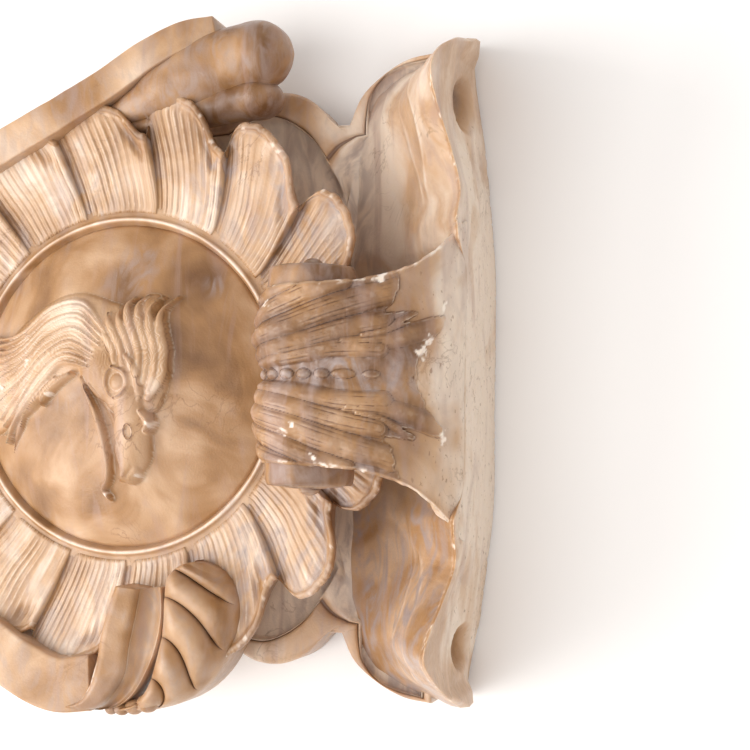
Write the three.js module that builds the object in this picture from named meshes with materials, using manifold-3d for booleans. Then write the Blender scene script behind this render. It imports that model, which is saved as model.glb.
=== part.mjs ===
// Rococo wall bracket in the form of a cartouche, carved from one block of alabaster.
// Millimetres, +Z up. The flat back lies on the plane y = 0 and the carving faces -Y.
// The origin is on the back, level with the middle of the round medallion.
// In the helpers below "depth" is the distance in front of the back plane, so y = -depth.

import * as THREE from 'three';
import { ParametricGeometry } from 'three/addons/geometries/ParametricGeometry.js';
import { mergeVertices } from 'three/addons/utils/BufferGeometryUtils.js';
import Module from 'manifold-3d';

const wasm = await Module();
wasm.setup();

// Driving dimensions

const SHELF = { top: 165, leftReach: 154, rightReach: 142, leftLean: 0.2, rightLean: 0.07, endDroop: 8, flatHalf: 42 };
const COVE = { foot: 99, backDepth: 20, bow: 0.42 };
const PLATE = { field: 22, band: 27, bandWidth: 8, leftReach: 157, rightReach: 145 };
const MEDALLION = { x: 1, z: -1, depth: 55, tilt: THREE.MathUtils.degToRad(5), radius: 72, rise: 20 };
const RIM = { ridge: 78, outer: 85 };
const COLLAR = { inner: 76, notch: 121, peak: 134, lipRise: 9, body: 104 };
const TONGUE = { rollDepth: 105, rollHeight: 103, rollRadius: 20, halfWidth: 39, capHalf: 47 };
const BACK_OVERRUN = 30;
const WHOLE = 400;

// Angles of the creases between the shell lobes, in degrees down each side from the top
const RIGHT_CREASES = [0, 22, 41.5, 66.3, 87.9, 108.3, 133.2, 157, 180];
const LEFT_CREASES = [0, 17, 36.8, 58.2, 79.8, 105.1, 129, 154, 180];
const LOBE_STEPS = [0, 0.14, 0.42, 0.74, 0.94];

// Small helpers

const { lerp, smoothstep, clamp, degToRad } = THREE.MathUtils;
const at = (x, depth, z) => new THREE.Vector3(x, -depth, z);

// A smooth curve through a few hand-picked points, read by the fraction of its run
const curveThrough = (...points) => new THREE.CatmullRomCurve3(points, false, 'centripetal');

// A smooth function y(x) through a few pairs, for profiles that are read by their first value
function profileThrough(...pairs) {
  const slope = (i) => {
    const [before, after] = [pairs[Math.max(i - 1, 0)], pairs[Math.min(i + 1, pairs.length - 1)]];
    return (after[1] - before[1]) / (after[0] - before[0]);
  };
  return (x) => {
    if (x <= pairs[0][0]) return pairs[0][1];
    if (x >= pairs.at(-1)[0]) return pairs.at(-1)[1];
    const i = pairs.findIndex((pair) => pair[0] > x) - 1;
    const [x0, y0] = pairs[i];
    const [x1, y1] = pairs[i + 1];
    const run = x1 - x0;
    const t = (x - x0) / run;
    const rise = y1 - y0;
    const a = slope(i) * run - rise;
    const b = rise - slope(i + 1) * run;
    return lerp(y0, y1, t) + t * (1 - t) * (a * (1 - t) + b * t);
  };
}

// Makes a solid of a closed geometry, turning it the right way out
function solidOf(geometry) {
  const bare = geometry.clone();
  bare.deleteAttribute('normal');
  bare.deleteAttribute('uv');
  const merged = mergeVertices(bare, 1e-3);
  const place = merged.attributes.position.array;
  const index = merged.index.array;
  const triangles = [];
  let volume = 0;
  const [a, b, c] = [new THREE.Vector3(), new THREE.Vector3(), new THREE.Vector3()];
  for (let i = 0; i < index.length; i += 3) {
    const [ia, ib, ic] = [index[i], index[i + 1], index[i + 2]];
    if (ia === ib || ib === ic || ic === ia) continue;
    a.fromArray(place, 3 * ia);
    b.fromArray(place, 3 * ib);
    c.fromArray(place, 3 * ic);
    volume += a.dot(b.cross(c));
    triangles.push(ia, ib, ic);
  }
  if (volume < 0) triangles.reverse();
  const mesh = new wasm.Mesh({
    numProp: 3,
    vertProperties: new Float32Array(place),
    triVerts: new Uint32Array(triangles),
  });
  mesh.merge();
  return new wasm.Manifold(mesh);
}

// A closed skin through rings; ringAt(along, around) gives a point, both values run 0 to 1
function loft(ringAt, stations, around) {
  const middle = (along) => {
    const sum = new THREE.Vector3();
    for (let i = 0; i < around; i++) sum.add(ringAt(along, i / around));
    return sum.divideScalar(around);
  };
  const ends = [middle(0), middle(1)];
  const skin = (u, v, target) => {
    const row = Math.round(v * (stations + 2));
    if (row === 0) target.copy(ends[0]);
    else if (row === stations + 2) target.copy(ends[1]);
    else target.copy(ringAt((row - 1) / stations, (Math.round(u * around) % around) / around));
  };
  return solidOf(new ParametricGeometry(skin, around, stations + 2));
}

// A skin that closes on itself both ways, like a ring
function ringSolid(pointAt, stations, around) {
  const skin = (u, v, target) => {
    target.copy(pointAt(Math.round(v * stations) % stations, Math.round(u * around) % around));
  };
  return solidOf(new ParametricGeometry(skin, around, stations));
}

// A point of a curve, the direction in which the stone stands up there, and the one across both
function stance(curve, along, outward) {
  const point = curve.getPoint(along);
  const out = outward(point);
  const side = new THREE.Vector3().crossVectors(curve.getTangent(along), out).normalize();
  return { point, out, side };
}

// A rounded band or lock of stone along a curve; width and height are functions of the run.
// outward(point) is the direction in which the band stands up from what carries it.
function band(curve, { stations, around, width, height, outward }) {
  return loft((along, turn) => {
    const { point, out, side } = stance(curve, along, outward);
    const angle = turn * 2 * Math.PI;
    return point
      .addScaledVector(side, Math.cos(angle) * width(along))
      .addScaledVector(out, Math.sin(angle) * height(along));
  }, stations, around);
}

// A ribbon with a flat face and square edges, along a curve
function ribbon(curve, { stations, section, outward }) {
  return loft((along, turn) => {
    const { point, out, side } = stance(curve, along, outward);
    const corners = section(along);
    const [across, up] = corners[Math.round(turn * corners.length) % corners.length];
    return point.addScaledVector(side, across).addScaledVector(out, up);
  }, stations, section(0).length);
}

function ellipsoid(centre, radii, detail = [12, 8]) {
  const geometry = new THREE.SphereGeometry(1, ...detail);
  geometry.scale(...radii);
  geometry.translate(centre.x, centre.y, centre.z);
  return solidOf(geometry);
}

function block(x0, x1, depth0, depth1, z0, z1) {
  const geometry = new THREE.BoxGeometry(x1 - x0, depth1 - depth0, z1 - z0);
  geometry.translate((x0 + x1) / 2, -(depth0 + depth1) / 2, (z0 + z1) / 2);
  return solidOf(geometry);
}

const forward = () => new THREE.Vector3(0, -1, 0);
const reachOf = (x, sizes) => (x < 0 ? sizes.leftReach : sizes.rightReach);

// Shelf and cove

// Depth and height of the front arris, by the fraction of the half width
const leftDepth = profileThrough(
  [0, 92], [0.3, 92], [0.43, 101], [0.53, 93], [0.63, 107], [0.71, 122],
  [0.79, 128], [0.86, 123], [0.9, 113], [0.94, 97], [0.97, 83], [1, 62]);
const rightDepth = profileThrough(
  [0, 92], [0.3, 92], [0.43, 101], [0.55, 93], [0.66, 109], [0.74, 124],
  [0.81, 128], [0.88, 114], [0.95, 88], [1, 60]);
const frontDepth = (x) => (x < 0 ? leftDepth : rightDepth)(Math.abs(x) / reachOf(x, SHELF));
const frontHeight = profileThrough(
  [0.3, 0], [0.43, -1], [0.55, -1.5], [0.66, -4], [0.81, -8], [0.88, -7], [0.95, -5], [1, -4]);

// Height of the cove's foot, which follows the lobed plate up at the ends
const footHeight = profileThrough(
  [0, COVE.foot], [0.78, COVE.foot], [0.86, 105], [0.93, 114], [0.98, 128], [1, 134]);

function shelfTop(x, depth) {
  const share = clamp(Math.abs(x) / reachOf(x, SHELF), 0, 1);
  const droop = SHELF.endDroop * smoothstep(Math.abs(x), SHELF.flatHalf, reachOf(x, SHELF));
  const towardFront = clamp(depth / frontDepth(x), 0, 1);
  return SHELF.top + lerp(-droop, frontHeight(share), towardFront ** 2);
}

// Each horn's end leans outward the nearer it comes to the wall
function leant(point) {
  const share = Math.abs(point.x) / reachOf(point.x, SHELF);
  const slope = point.x < 0 ? -SHELF.leftLean : SHELF.rightLean;
  const nearWall = Math.max(60 + point.y, 0) * share ** 8 * smoothstep(point.z, 138, 155);
  return new THREE.Vector3(point.x + slope * nearWall, point.y, point.z);
}

function shelfAndCove() {
  const topSteps = 3;
  const coveSteps = 5;
  const around = topSteps + coveSteps + 3;
  const section = (x) => {
    const share = Math.abs(x) / reachOf(x, SHELF);
    const depth = frontDepth(x);
    const points = [];
    for (let i = 0; i <= topSteps; i++) {
      const d = (depth * i) / topSteps;
      points.push(at(x, d, shelfTop(x, d)));
    }
    const arris = points.at(-1);
    const foot = at(x, COVE.backDepth, footHeight(share));
    const bend = at(x, COVE.backDepth + 8, lerp(foot.z, arris.z, COVE.bow));
    const cove = new THREE.QuadraticBezierCurve3(arris, bend, foot);
    for (let i = 1; i <= coveSteps; i++) points.push(cove.getPoint(i / coveSteps));
    points.push(at(x, 0, foot.z));
    points.push(at(x, 0, (foot.z + SHELF.top) / 2));
    return points.map(leant);
  };
  const body = loft((along, turn) => {
    const x = lerp(-SHELF.leftReach, SHELF.rightReach, along);
    return section(x)[Math.round(turn * around) % around];
  }, 32, around);
  const recess = (x, depth) => ellipsoid(at(x, depth, SHELF.top - 2), [15, 25, 8], [12, 6]);
  return body.subtract(recess(-130, 58)).subtract(recess(119, 50));
}

// Back plate with its lobed edge

// Half of the outline, as a fraction of the reach and the height, from the horn downwards
function plateOutline(inset) {
  const half = (reach) => {
    const upper = [[1, 141], [0.985, 128], [0.935, 114], [0.875, 104], [0.79, 98]];
    const lower = [[0.79, 91], [0.865, 80], [0.895, 69], [0.89, 57], [0.855, 47], [0.81, 36]];
    const tail = [[0.8, -10], [0.72, -60], [0.56, -112], [0.3, -160], [0.06, -184]];
    const shift = ([share, z]) => new THREE.Vector2(share * reach - inset, z + inset * 0.5);
    const curve = (points) => new THREE.SplineCurve(points.map(shift)).getPoints(5);
    return [...curve(upper), ...curve(lower), ...curve(tail)];
  };
  const right = half(PLATE.rightReach);
  const left = half(PLATE.leftReach).map((point) => new THREE.Vector2(-point.x, point.y)).reverse();
  return new THREE.Shape([...right, ...left]);
}

function standOff(shape, depth0, depth1) {
  const geometry = new THREE.ExtrudeGeometry(shape, { depth: depth1 - depth0, bevelEnabled: false });
  geometry.rotateX(Math.PI / 2);
  geometry.translate(0, -depth0, 0);
  return solidOf(geometry);
}

function backPlate() {
  const plate = standOff(plateOutline(0), 0, PLATE.band);
  const field = standOff(plateOutline(PLATE.bandWidth), PLATE.field, PLATE.band + 10);
  return plate.subtract(field);
}

// Medallion, its rim and the shell collar share one tilted disc

function onDisc(right, up, out) {
  const { x, z, depth, tilt } = MEDALLION;
  return at(
    x + right,
    depth + up * Math.sin(tilt) + out * Math.cos(tilt),
    z + up * Math.cos(tilt) - out * Math.sin(tilt));
}
const discOut = onDisc(0, 0, 1).sub(onDisc(0, 0, 0));

const domeRadius = (MEDALLION.radius ** 2 + MEDALLION.rise ** 2) / (2 * MEDALLION.rise);
const domeHeight = (r) => Math.sqrt(domeRadius ** 2 - r ** 2) - domeRadius + MEDALLION.rise;

function medallion() {
  const profile = [new THREE.Vector2(0, -MEDALLION.depth - BACK_OVERRUN)];
  const add = (r, out) => profile.push(new THREE.Vector2(r, out));
  add(RIM.outer, -MEDALLION.depth - BACK_OVERRUN);
  add(RIM.outer, -1.5);
  add(RIM.outer - 2, 0.8);
  add(RIM.ridge + 2.4, -0.2);
  add(RIM.ridge, 3.2);
  add(RIM.ridge - 3.4, 0.2);
  for (const r of [MEDALLION.radius, 54, 32]) add(r, domeHeight(r));
  add(0, MEDALLION.rise);
  const geometry = new THREE.LatheGeometry(profile, 42);
  const place = geometry.attributes.position;
  for (let i = 0; i < place.count; i++) {
    const point = onDisc(place.getX(i), place.getZ(i), place.getY(i));
    place.setXYZ(i, point.x, point.y, point.z);
  }
  return solidOf(geometry);
}

// Where an angle falls in its lobe: 0 just under the lobe above, 1 at the raised lower shoulder
function collarStations() {
  const side = (creases, sign) => creases.slice(0, -1).flatMap((start, i) =>
    LOBE_STEPS.map((t) => ({ angle: sign * lerp(start, creases[i + 1], t), t })));
  const right = side(RIGHT_CREASES, 1);
  const left = side(LEFT_CREASES, -1);
  const bottom = { angle: 180, t: 1 };
  return [...right, bottom, ...left.slice(1).reverse()];
}

function shellCollar() {
  const stations = collarStations();
  const pointsAt = ({ angle, t }) => {
    const arch = 1 - Math.abs(2 * t ** 1.25 - 1) ** 3.4;
    const lip = lerp(COLLAR.notch, COLLAR.peak, arch);
    // Each lobe's upper edge stands proud of the sunk end of the lobe above
    const lift = COLLAR.lipRise * (0.25 + 0.75 * (1 - t) ** 0.7);
    const hollow = -4 * Math.sin(Math.PI * clamp((1 - t) * 1.6, 0, 1));
    const section = [
      [COLLAR.inner, -8], [RIM.outer - 2, -1], [95, -2 + hollow * 0.4 + lift * 0.2],
      [lip - 13, 0.5 + hollow * 0.6 + lift * 0.8], [lip - 3, 2.5 + lift], [lip, -1 + lift],
      [COLLAR.body + 2, -20],
      [COLLAR.body, -MEDALLION.depth - BACK_OVERRUN], [COLLAR.inner, -MEDALLION.depth - BACK_OVERRUN],
    ];
    const turn = degToRad(angle);
    return section.map(([r, out]) => onDisc(r * Math.sin(turn), r * Math.cos(turn), out));
  };
  const rows = stations.map(pointsAt);
  return ringSolid((row, column) => rows[row][column], rows.length, rows[0].length);
}

// Eagle's head in relief on the boss, in the disc's own right and up

function eaglePoint(right, up, above = 0) {
  return onDisc(right, up, domeHeight(Math.hypot(right, up)) + above);
}
const eagleCurve = (pairs) => curveThrough(...pairs.map(([right, up]) => eaglePoint(right, up)));
const discForward = () => discOut.clone();

function lock(pairs, wide, high, stations = 6) {
  const swell = (s) => Math.sin(Math.PI * clamp(0.12 + 0.8 * s, 0, 1));
  return band(eagleCurve(pairs), {
    stations, around: 4, outward: discForward,
    width: (s) => wide * (0.35 + 0.65 * swell(s)),
    height: (s) => high * (0.4 + 0.6 * swell(s)),
  });
}

function eagle() {
  const pieces = [];
  // Skull, cheek and the mass of the neck under its feathers
  pieces.push(ellipsoid(eaglePoint(-4, 15, 0), [20, 9, 15], [10, 6]));
  pieces.push(ellipsoid(eaglePoint(-14, 0, -1), [19, 9, 17], [10, 6]));
  pieces.push(band(eagleCurve([[-20, -4], [-24, -20], [-14, -38], [0, -52], [6, -66]]), {
    stations: 6, around: 6, outward: discForward,
    width: (s) => lerp(17, 22, s), height: (s) => lerp(6, 4.5, s),
  }));
  // Beak: the upper part with its swollen root, and the lower part curling up at its tip
  pieces.push(band(eagleCurve([[2, 16], [17, 15.5], [31, 14], [42, 12]]), {
    stations: 5, around: 6, outward: discForward,
    width: (s) => lerp(11, 5.5, s ** 1.4), height: (s) => lerp(9, 6, s),
  }));
  pieces.push(ellipsoid(eaglePoint(16, 24, 3), [4.5, 4, 2.6], [8, 6]));
  pieces.push(lock([[-2, -11], [12, -6], [26, -2.5], [40, -1.5], [50, -5], [54, 0]], 3, 6.5, 9));
  // Brow and eye
  pieces.push(lock([[-9, 8], [-5, 17], [3, 21], [10, 18]], 2.6, 12));
  pieces.push(ellipsoid(eaglePoint(0, 10, 7), [4, 4.6, 4], [10, 6]));
  // Crest of locks swept back from the brow
  const crest = [
    { from: [0, 29], to: [-39, 35] }, { from: [-6, 22], to: [-41, 26] }, { from: [-9, 14], to: [-42, 17] },
    { from: [-10, 5], to: [-35, 7] },
  ];
  for (const { from, to } of crest) {
    const sag = [lerp(from[0], to[0], 0.6), lerp(from[1], to[1], 0.6) - 2.5];
    pieces.push(lock([from, sag, to], 4.8, 8.5, 5));
  }
  // Neck feathers in long S curves, side by side
  const strands = 5;
  for (let i = 0; i < strands; i++) {
    const s = i / (strands - 1);
    pieces.push(lock([
      [lerp(-33, -8, s), lerp(2, -8, s)], [lerp(-39, -8, s), lerp(-16, -22, s)],
      [lerp(-31, 3, s), lerp(-38, -34, s)], [lerp(-23, 13, s), lerp(-52, -44, s)],
      [lerp(-26, 26, s), lerp(-66, -50, s)]], 5.4, 8.5, 6));
  }
  return pieces;
}

// Tongue with its leaf and volute

// Run of the tongue's front from the shelf down onto the roll, as depth and height
function tongueProfile() {
  const { rollDepth, rollHeight, rollRadius } = TONGUE;
  const points = [[60, 160], [91, 164], [101, 158], [110, 147], [117, 134], [122, 120]];
  for (let angle = 10; angle >= -170; angle -= 30) {
    const turn = degToRad(angle);
    points.push([rollDepth + rollRadius * Math.cos(turn), rollHeight + rollRadius * Math.sin(turn)]);
  }
  points.push([70, 118], [60, 140]);
  return points;
}

function tongueHalfWidth(z) {
  const flare = profileThrough([112, TONGUE.halfWidth], [126, 40], [140, 43.5], [151, 50], [160, 60], [166, 71]);
  return flare(z);
}

function tongue() {
  const profile = tongueProfile();
  const across = 6;
  const body = loft((along, turn) => {
    const [depth, z] = profile[Math.round(turn * profile.length) % profile.length];
    const half = tongueHalfWidth(z);
    return at(lerp(-half, half, along), depth, z);
  }, across, profile.length);
  // The roll runs on past the tongue's sides as a cap, with a small button at its eye
  const { rollDepth, rollHeight, rollRadius, capHalf } = TONGUE;
  const roll = new THREE.CylinderGeometry(rollRadius - 1.5, rollRadius - 1.5, 2 * capHalf, 18);
  roll.rotateZ(Math.PI / 2);
  roll.translate(0, -rollDepth, rollHeight);
  const pieces = [body, solidOf(roll)];
  for (const side of [-1, 1]) {
    pieces.push(ellipsoid(at(side * (capHalf - 0.5), rollDepth, rollHeight), [3, 9, 9], [8, 6]));
  }
  return pieces;
}

// A point on the tongue's front, by its share of the half width and its run down from the shelf
function onTongue(share, run, above = 0) {
  const front = curveThrough(
    at(0, 96, 162), at(0, 106, 152), at(0, 115, 138), at(0, 121, 122), at(0, 125, 103),
    at(0, 121, 91), at(0, 112, 84));
  const point = front.getPoint(clamp(run, 0, 1));
  const half = point.z > 100 ? tongueHalfWidth(point.z) : TONGUE.halfWidth;
  const tangent = front.getTangent(clamp(run, 0, 1));
  const out = new THREE.Vector3(0, tangent.z, -tangent.y);
  return point.setX(share * half).addScaledVector(out, above);
}

function acanthus() {
  const pieces = [];
  const tips = [[0.3, 0.12], [0.56, 0.18], [0.78, 0.32], [0.93, 0.52]];
  for (const side of [-1, 1]) {
    tips.forEach(([share, run], i) => {
      const root = 0.26 + 0.16 * i;
      const path = curveThrough(
        onTongue(side * root, 1), onTongue(side * root * 1.1, 0.8), onTongue(side * root * 1.05, 0.6),
        onTongue(side * lerp(root, share, 0.6), lerp(0.6, run, 0.6)), onTongue(side * share, run));
      const outward = (point) => {
        const roundRoll = new THREE.Vector3(0, point.y + TONGUE.rollDepth - 12, point.z - TONGUE.rollHeight - 6);
        return roundRoll.normalize().lerp(forward(), smoothstep(point.z, 108, 140)).normalize();
      };
      pieces.push(band(path, {
        stations: 6, around: 4, outward,
        width: (s) => 5.6 * Math.sin(Math.PI * clamp(0.22 + 0.7 * s, 0, 1)),
        height: (s) => 4.2 * Math.sin(Math.PI * clamp(0.25 + 0.66 * s, 0, 1)),
      }));
    });
  }
  // Row of beads between the two halves of the leaf, longer towards the top
  const beads = 6;
  for (let i = 0; i < beads; i++) {
    const centre = onTongue(0, 0.97 - 0.145 * i, 0.5);
    const long = lerp(2.6, 5.5, i / (beads - 1));
    pieces.push(ellipsoid(centre, [2.7, 3, long], [6, 5]));
  }
  return pieces;
}

// C-scrolls down both sides

function leftScroll() {
  const spine = curveThrough(
    at(-6, 42, -184), at(-50, 50, -158), at(-86, 56, -112), at(-111, 60, -64), at(-125, 62, -36),
    at(-139, 62, -11), at(-153, 62, 11), at(-161, 60, 27), at(-164, 57, 41));
  const strap = ribbon(spine, {
    stations: 18, outward: forward,
    section: (s) => {
      const half = lerp(9, 6.5, s);
      return [[-half, 2], [half, 2], [half, -34], [-half, -34]];
    },
  });
  // The plain roll grows out of a thin rib beside the strap and ends in a round head
  const rollPath = curveThrough(
    at(-100, 56, -60), at(-119, 57, -28), at(-131, 56, 0), at(-143, 54, 32), at(-151, 51, 60));
  const roll = band(rollPath, {
    stations: 9, around: 9, outward: forward,
    width: (s) => lerp(5, 17, smoothstep(s, 0.35, 0.95)), height: (s) => lerp(7, 17, s),
  });
  const head = ellipsoid(at(-151, 51, 64), [17, 18, 19], [12, 8]);
  const inner = band(curveThrough(at(-119, 50, 8), at(-126, 50, 34), at(-131, 48, 60)), {
    stations: 6, around: 8, outward: forward,
    width: (s) => lerp(6, 10, s), height: (s) => lerp(8, 15, s),
  });
  return [strap, roll, head, inner];
}

function rightScroll() {
  const spine = curveThrough(
    at(8, 40, -186), at(52, 48, -160), at(90, 54, -112), at(116, 60, -70), at(134, 66, -38),
    at(141, 70, -14), at(134, 74, 4), at(115, 76, 10), at(94, 76, 13));
  const strap = ribbon(spine, {
    stations: 22, outward: forward,
    section: (s) => {
      const half = lerp(10, 7.5, s);
      return [[-half, 3], [half, 3], [half, -30], [-half, -30]];
    },
  });
  const gadroons = 8;
  const torusPath = curveThrough(
    at(147, 64, 0), at(144, 66, 18), at(134, 69, 35), at(118, 71, 44), at(101, 72, 46), at(86, 70, 41));
  const torus = band(torusPath, {
    stations: gadroons * 3, around: 8, outward: forward,
    width: (s) => lerp(4, 16, s ** 0.7) * (0.86 + 0.14 * Math.abs(Math.sin(Math.PI * gadroons * s))),
    height: (s) => lerp(8, 15, s) * (0.84 + 0.16 * Math.abs(Math.sin(Math.PI * gadroons * s))),
  });
  const channel = ribbon(curveThrough(at(144, 60, -8), at(138, 62, 14), at(120, 64, 26), at(94, 64, 26)), {
    stations: 10, outward: forward, section: () => [[-8, 0], [8, 0], [8, -30], [-8, -30]],
  });
  return [strap, torus, channel];
}

// Foot of the cartouche, where both straps meet over a plain bud

function foot() {
  const body = ellipsoid(at(0, 22, -150), [62, 30, 52], [14, 7]);
  const bud = ellipsoid(at(0, 36, -192), [17, 20, 22], [12, 7]);
  return [body, bud];
}

// Joins everything and cuts the back flat

function carvedStone() {
  const pieces = [
    shelfAndCove(), backPlate(), medallion(), shellCollar(), ...tongue(), ...acanthus(),
    ...leftScroll(), ...rightScroll(), ...foot(), ...eagle(),
  ];
  const joined = wasm.Manifold.union(pieces);
  const cut = joined.subtract(block(-WHOLE, WHOLE, -WHOLE, 0, -WHOLE, WHOLE));
  // Where two skins graze each other the join can leave a sliver of no size beside the stone
  return cut.decompose().sort((a, b) => b.volume() - a.volume())[0];
}

function geometryOf(solid) {
  const mesh = solid.getMesh();
  const geometry = new THREE.BufferGeometry();
  geometry.setAttribute('position', new THREE.BufferAttribute(new Float32Array(mesh.vertProperties), 3));
  geometry.setIndex(new THREE.BufferAttribute(new Uint32Array(mesh.triVerts), 1));
  geometry.computeVertexNormals();
  return geometry;
}

const alabaster = new THREE.MeshStandardMaterial({ color: 0xc19a73, roughness: 0.42, metalness: 0 });

const bracket = new THREE.Mesh(geometryOf(carvedStone()), alabaster);
bracket.name = 'bracket';

const part = new THREE.Group();
part.add(bracket);

export default part;
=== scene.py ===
# Rococo wall bracket in the form of a cartouche, carved from one block of alabaster.
# Sizes are in millimetres and turn into metres in one place. x runs along the shelf, z is up, and
# "depth" is the distance in front of the flat back, so the carving faces -Y.

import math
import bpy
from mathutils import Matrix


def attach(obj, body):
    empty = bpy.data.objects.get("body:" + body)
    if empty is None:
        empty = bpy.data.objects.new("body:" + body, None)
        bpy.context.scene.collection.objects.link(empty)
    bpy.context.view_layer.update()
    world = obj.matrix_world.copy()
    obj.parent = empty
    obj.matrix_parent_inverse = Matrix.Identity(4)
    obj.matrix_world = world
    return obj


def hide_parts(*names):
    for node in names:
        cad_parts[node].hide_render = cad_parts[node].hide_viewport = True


bl_info = {
    "name": "Alabaster cartouche bracket",
    "version": (1, 0, 0),
    "blender": (4, 5, 0),
    "location": "View3D > Sidebar > Bracket",
    "description": "Builds a carved alabaster wall bracket around its packed frame",
    "category": "Add Mesh",
}

import bmesh
import bpy
import numpy as np
from mathutils import Matrix, Vector

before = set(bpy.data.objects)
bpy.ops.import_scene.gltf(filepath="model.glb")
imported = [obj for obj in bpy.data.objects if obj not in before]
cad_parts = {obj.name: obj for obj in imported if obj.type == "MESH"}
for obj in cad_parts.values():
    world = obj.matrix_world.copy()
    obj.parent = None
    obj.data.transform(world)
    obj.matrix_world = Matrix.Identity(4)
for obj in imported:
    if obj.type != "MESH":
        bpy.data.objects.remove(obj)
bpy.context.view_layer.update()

MM = 0.001
STONE_NODE = "bracket"

# Driving sizes, the same as the solid's apart from the lean of the right end, which is a little less

SHELF_TOP = 165.0
SHELF_LEFT = 154.0
SHELF_RIGHT = 142.0
LEFT_LEAN = 0.2
RIGHT_LEAN = 0.04
COVE_FOOT_DEPTH = 20.0
PLATE_LEFT = 157.0
PLATE_RIGHT = 145.0
BOSS_X = 1.0
BOSS_Z = -1.0
BOSS_DEPTH = 55.0
BOSS_TILT = math.radians(5)
BOSS_RADIUS = 72.0
BOSS_RISE = 20.0
DOME_RADIUS = (BOSS_RADIUS**2 + BOSS_RISE**2) / (2 * BOSS_RISE)
ROLL_DEPTH = 105.0
ROLL_HEIGHT = 103.0
TONGUE_HALF = 39.0
CAP_HALF = 47.0


# Numbers

def smooth(t):
    t = np.clip(t, 0.0, 1.0)
    return t * t * (3 - 2 * t)


def ramp(x, start, end):
    """0 at start, 1 at end, smooth between them."""
    return smooth((x - start) / (end - start))


def mix(a, b, t):
    return a + (b - a) * t


def bump(x, centre, half):
    """A smooth hill of height 1 round centre that ends at half on both sides."""
    return smooth(1 - np.abs(x - centre) / half)


def grid(*parts):
    """Places of a sheet from numbers for each of their ways, such as x, depth and z."""
    return np.stack(np.broadcast_arrays(*parts), -1)


def through(x, pairs):
    """A smooth function through a few pairs."""
    px, py = np.array(pairs, float).T
    slope = np.empty(len(px))
    slope[1:-1] = (py[2:] - py[:-2]) / (px[2:] - px[:-2])
    slope[0] = (py[1] - py[0]) / (px[1] - px[0])
    slope[-1] = (py[-1] - py[-2]) / (px[-1] - px[-2])
    x = np.clip(x, px[0], px[-1])
    i = np.clip(np.searchsorted(px, x, side="right") - 1, 0, len(px) - 2)
    run = px[i + 1] - px[i]
    rise = py[i + 1] - py[i]
    t = (x - px[i]) / run
    a = slope[i] * run - rise
    b = rise - slope[i + 1] * run
    return mix(py[i], py[i + 1], t) + t * (1 - t) * (a * (1 - t) + b * t)


def along(points, t):
    """Places on a smooth curve through a few points, for t from 0 to 1."""
    points = np.array(points, float)
    t = np.asarray(t, float)
    padded = np.vstack([2 * points[0] - points[1], points, 2 * points[-1] - points[-2]])
    where = np.clip(t, 0, 1) * (len(points) - 1)
    i = np.minimum(where.astype(int), len(points) - 2)
    w = (where - i)[..., None]
    p0, p1, p2, p3 = (padded[i + k] for k in range(4))
    gap = lambda a, b: np.maximum(np.linalg.norm(b - a, axis=-1, keepdims=True), 1e-4) ** 0.5
    d0, d1, d2 = gap(p0, p1), gap(p1, p2), gap(p2, p3)
    m1 = ((p1 - p0) / d0 - (p2 - p0) / (d0 + d1) + (p2 - p1) / d1) * d1
    m2 = ((p2 - p1) / d1 - (p3 - p1) / (d1 + d2) + (p3 - p2) / d2) * d1
    cubic = (2 * p1 - 2 * p2 + m1 + m2) * w**3
    square = (-3 * p1 + 3 * p2 - 2 * m1 - m2) * w**2
    return cubic + square + m1 * w + p1


def grain(places, size, seed, octaves=2):
    """Smooth seeded noise of about -1 to 1. size is that of its hills in mm, one for all ways or one each."""
    table = np.random.RandomState(seed).uniform(-1, 1, (32,) * places.shape[-1])
    total = np.zeros(places.shape[:-1])
    weight = 1.0
    for octave in range(octaves):
        q = places / np.asarray(size, float) * 2.0**octave + 11.7 * (octave + 1)
        cell = np.floor(q).astype(int)
        part = smooth(q - cell)
        value = np.zeros(places.shape[:-1])
        for corner in np.ndindex(*(2,) * places.shape[-1]):
            share = np.ones(places.shape[:-1])
            index = []
            for axis, step in enumerate(corner):
                share = share * (part[..., axis] if step else 1 - part[..., axis])
                index.append((cell[..., axis] + step) % 32)
            value += share * table[tuple(index)]
        total += value * weight
        weight *= 0.5
    return total * 1.4


def stroke(right, up, line, width, start=0.35, end=0.15):
    """Profile of a tapering carved strand: 1 on its middle line, 0 at its sides and below 0 beyond them."""
    line = along(line, np.linspace(0, 1, 6 * len(line)))
    best = np.full(right.shape, -9.0)
    spots = len(line) - 1
    for k in range(spots):
        ax, ay = line[k]
        bx, by = line[k + 1]
        length = max((bx - ax) ** 2 + (by - ay) ** 2, 1e-9)
        t = np.clip(((right - ax) * (bx - ax) + (up - ay) * (by - ay)) / length, 0, 1)
        gap = np.hypot(right - ax - t * (bx - ax), up - ay - t * (by - ay))
        s = (k + t) / spots
        half = width * (start + (1 - start) * smooth(s / 0.3)) * (end + (1 - end) * smooth((1 - s) / 0.45))
        best = np.maximum(best, 1 - (gap / half) ** 2)
    return best


# Meshes

def proud(places, height, flip=1.0):
    """Moves a grid of places out along its own normals by height."""
    normal = np.cross(np.gradient(places, axis=1), np.gradient(places, axis=0))
    normal /= np.maximum(np.linalg.norm(normal, axis=-1, keepdims=True), 1e-9)
    return places + normal * (flip * np.asarray(height))[..., None]


def set_attribute(mesh, name, values):
    layer = mesh.attributes.get(name) or mesh.attributes.new(name, "FLOAT", "POINT")
    layer.data.foreach_set("value", np.ascontiguousarray(values, np.float32).ravel())


def read_places(mesh):
    co = np.empty(len(mesh.vertices) * 3, np.float32)
    mesh.vertices.foreach_get("co", co)
    return co.reshape(-1, 3).astype(float)


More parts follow.
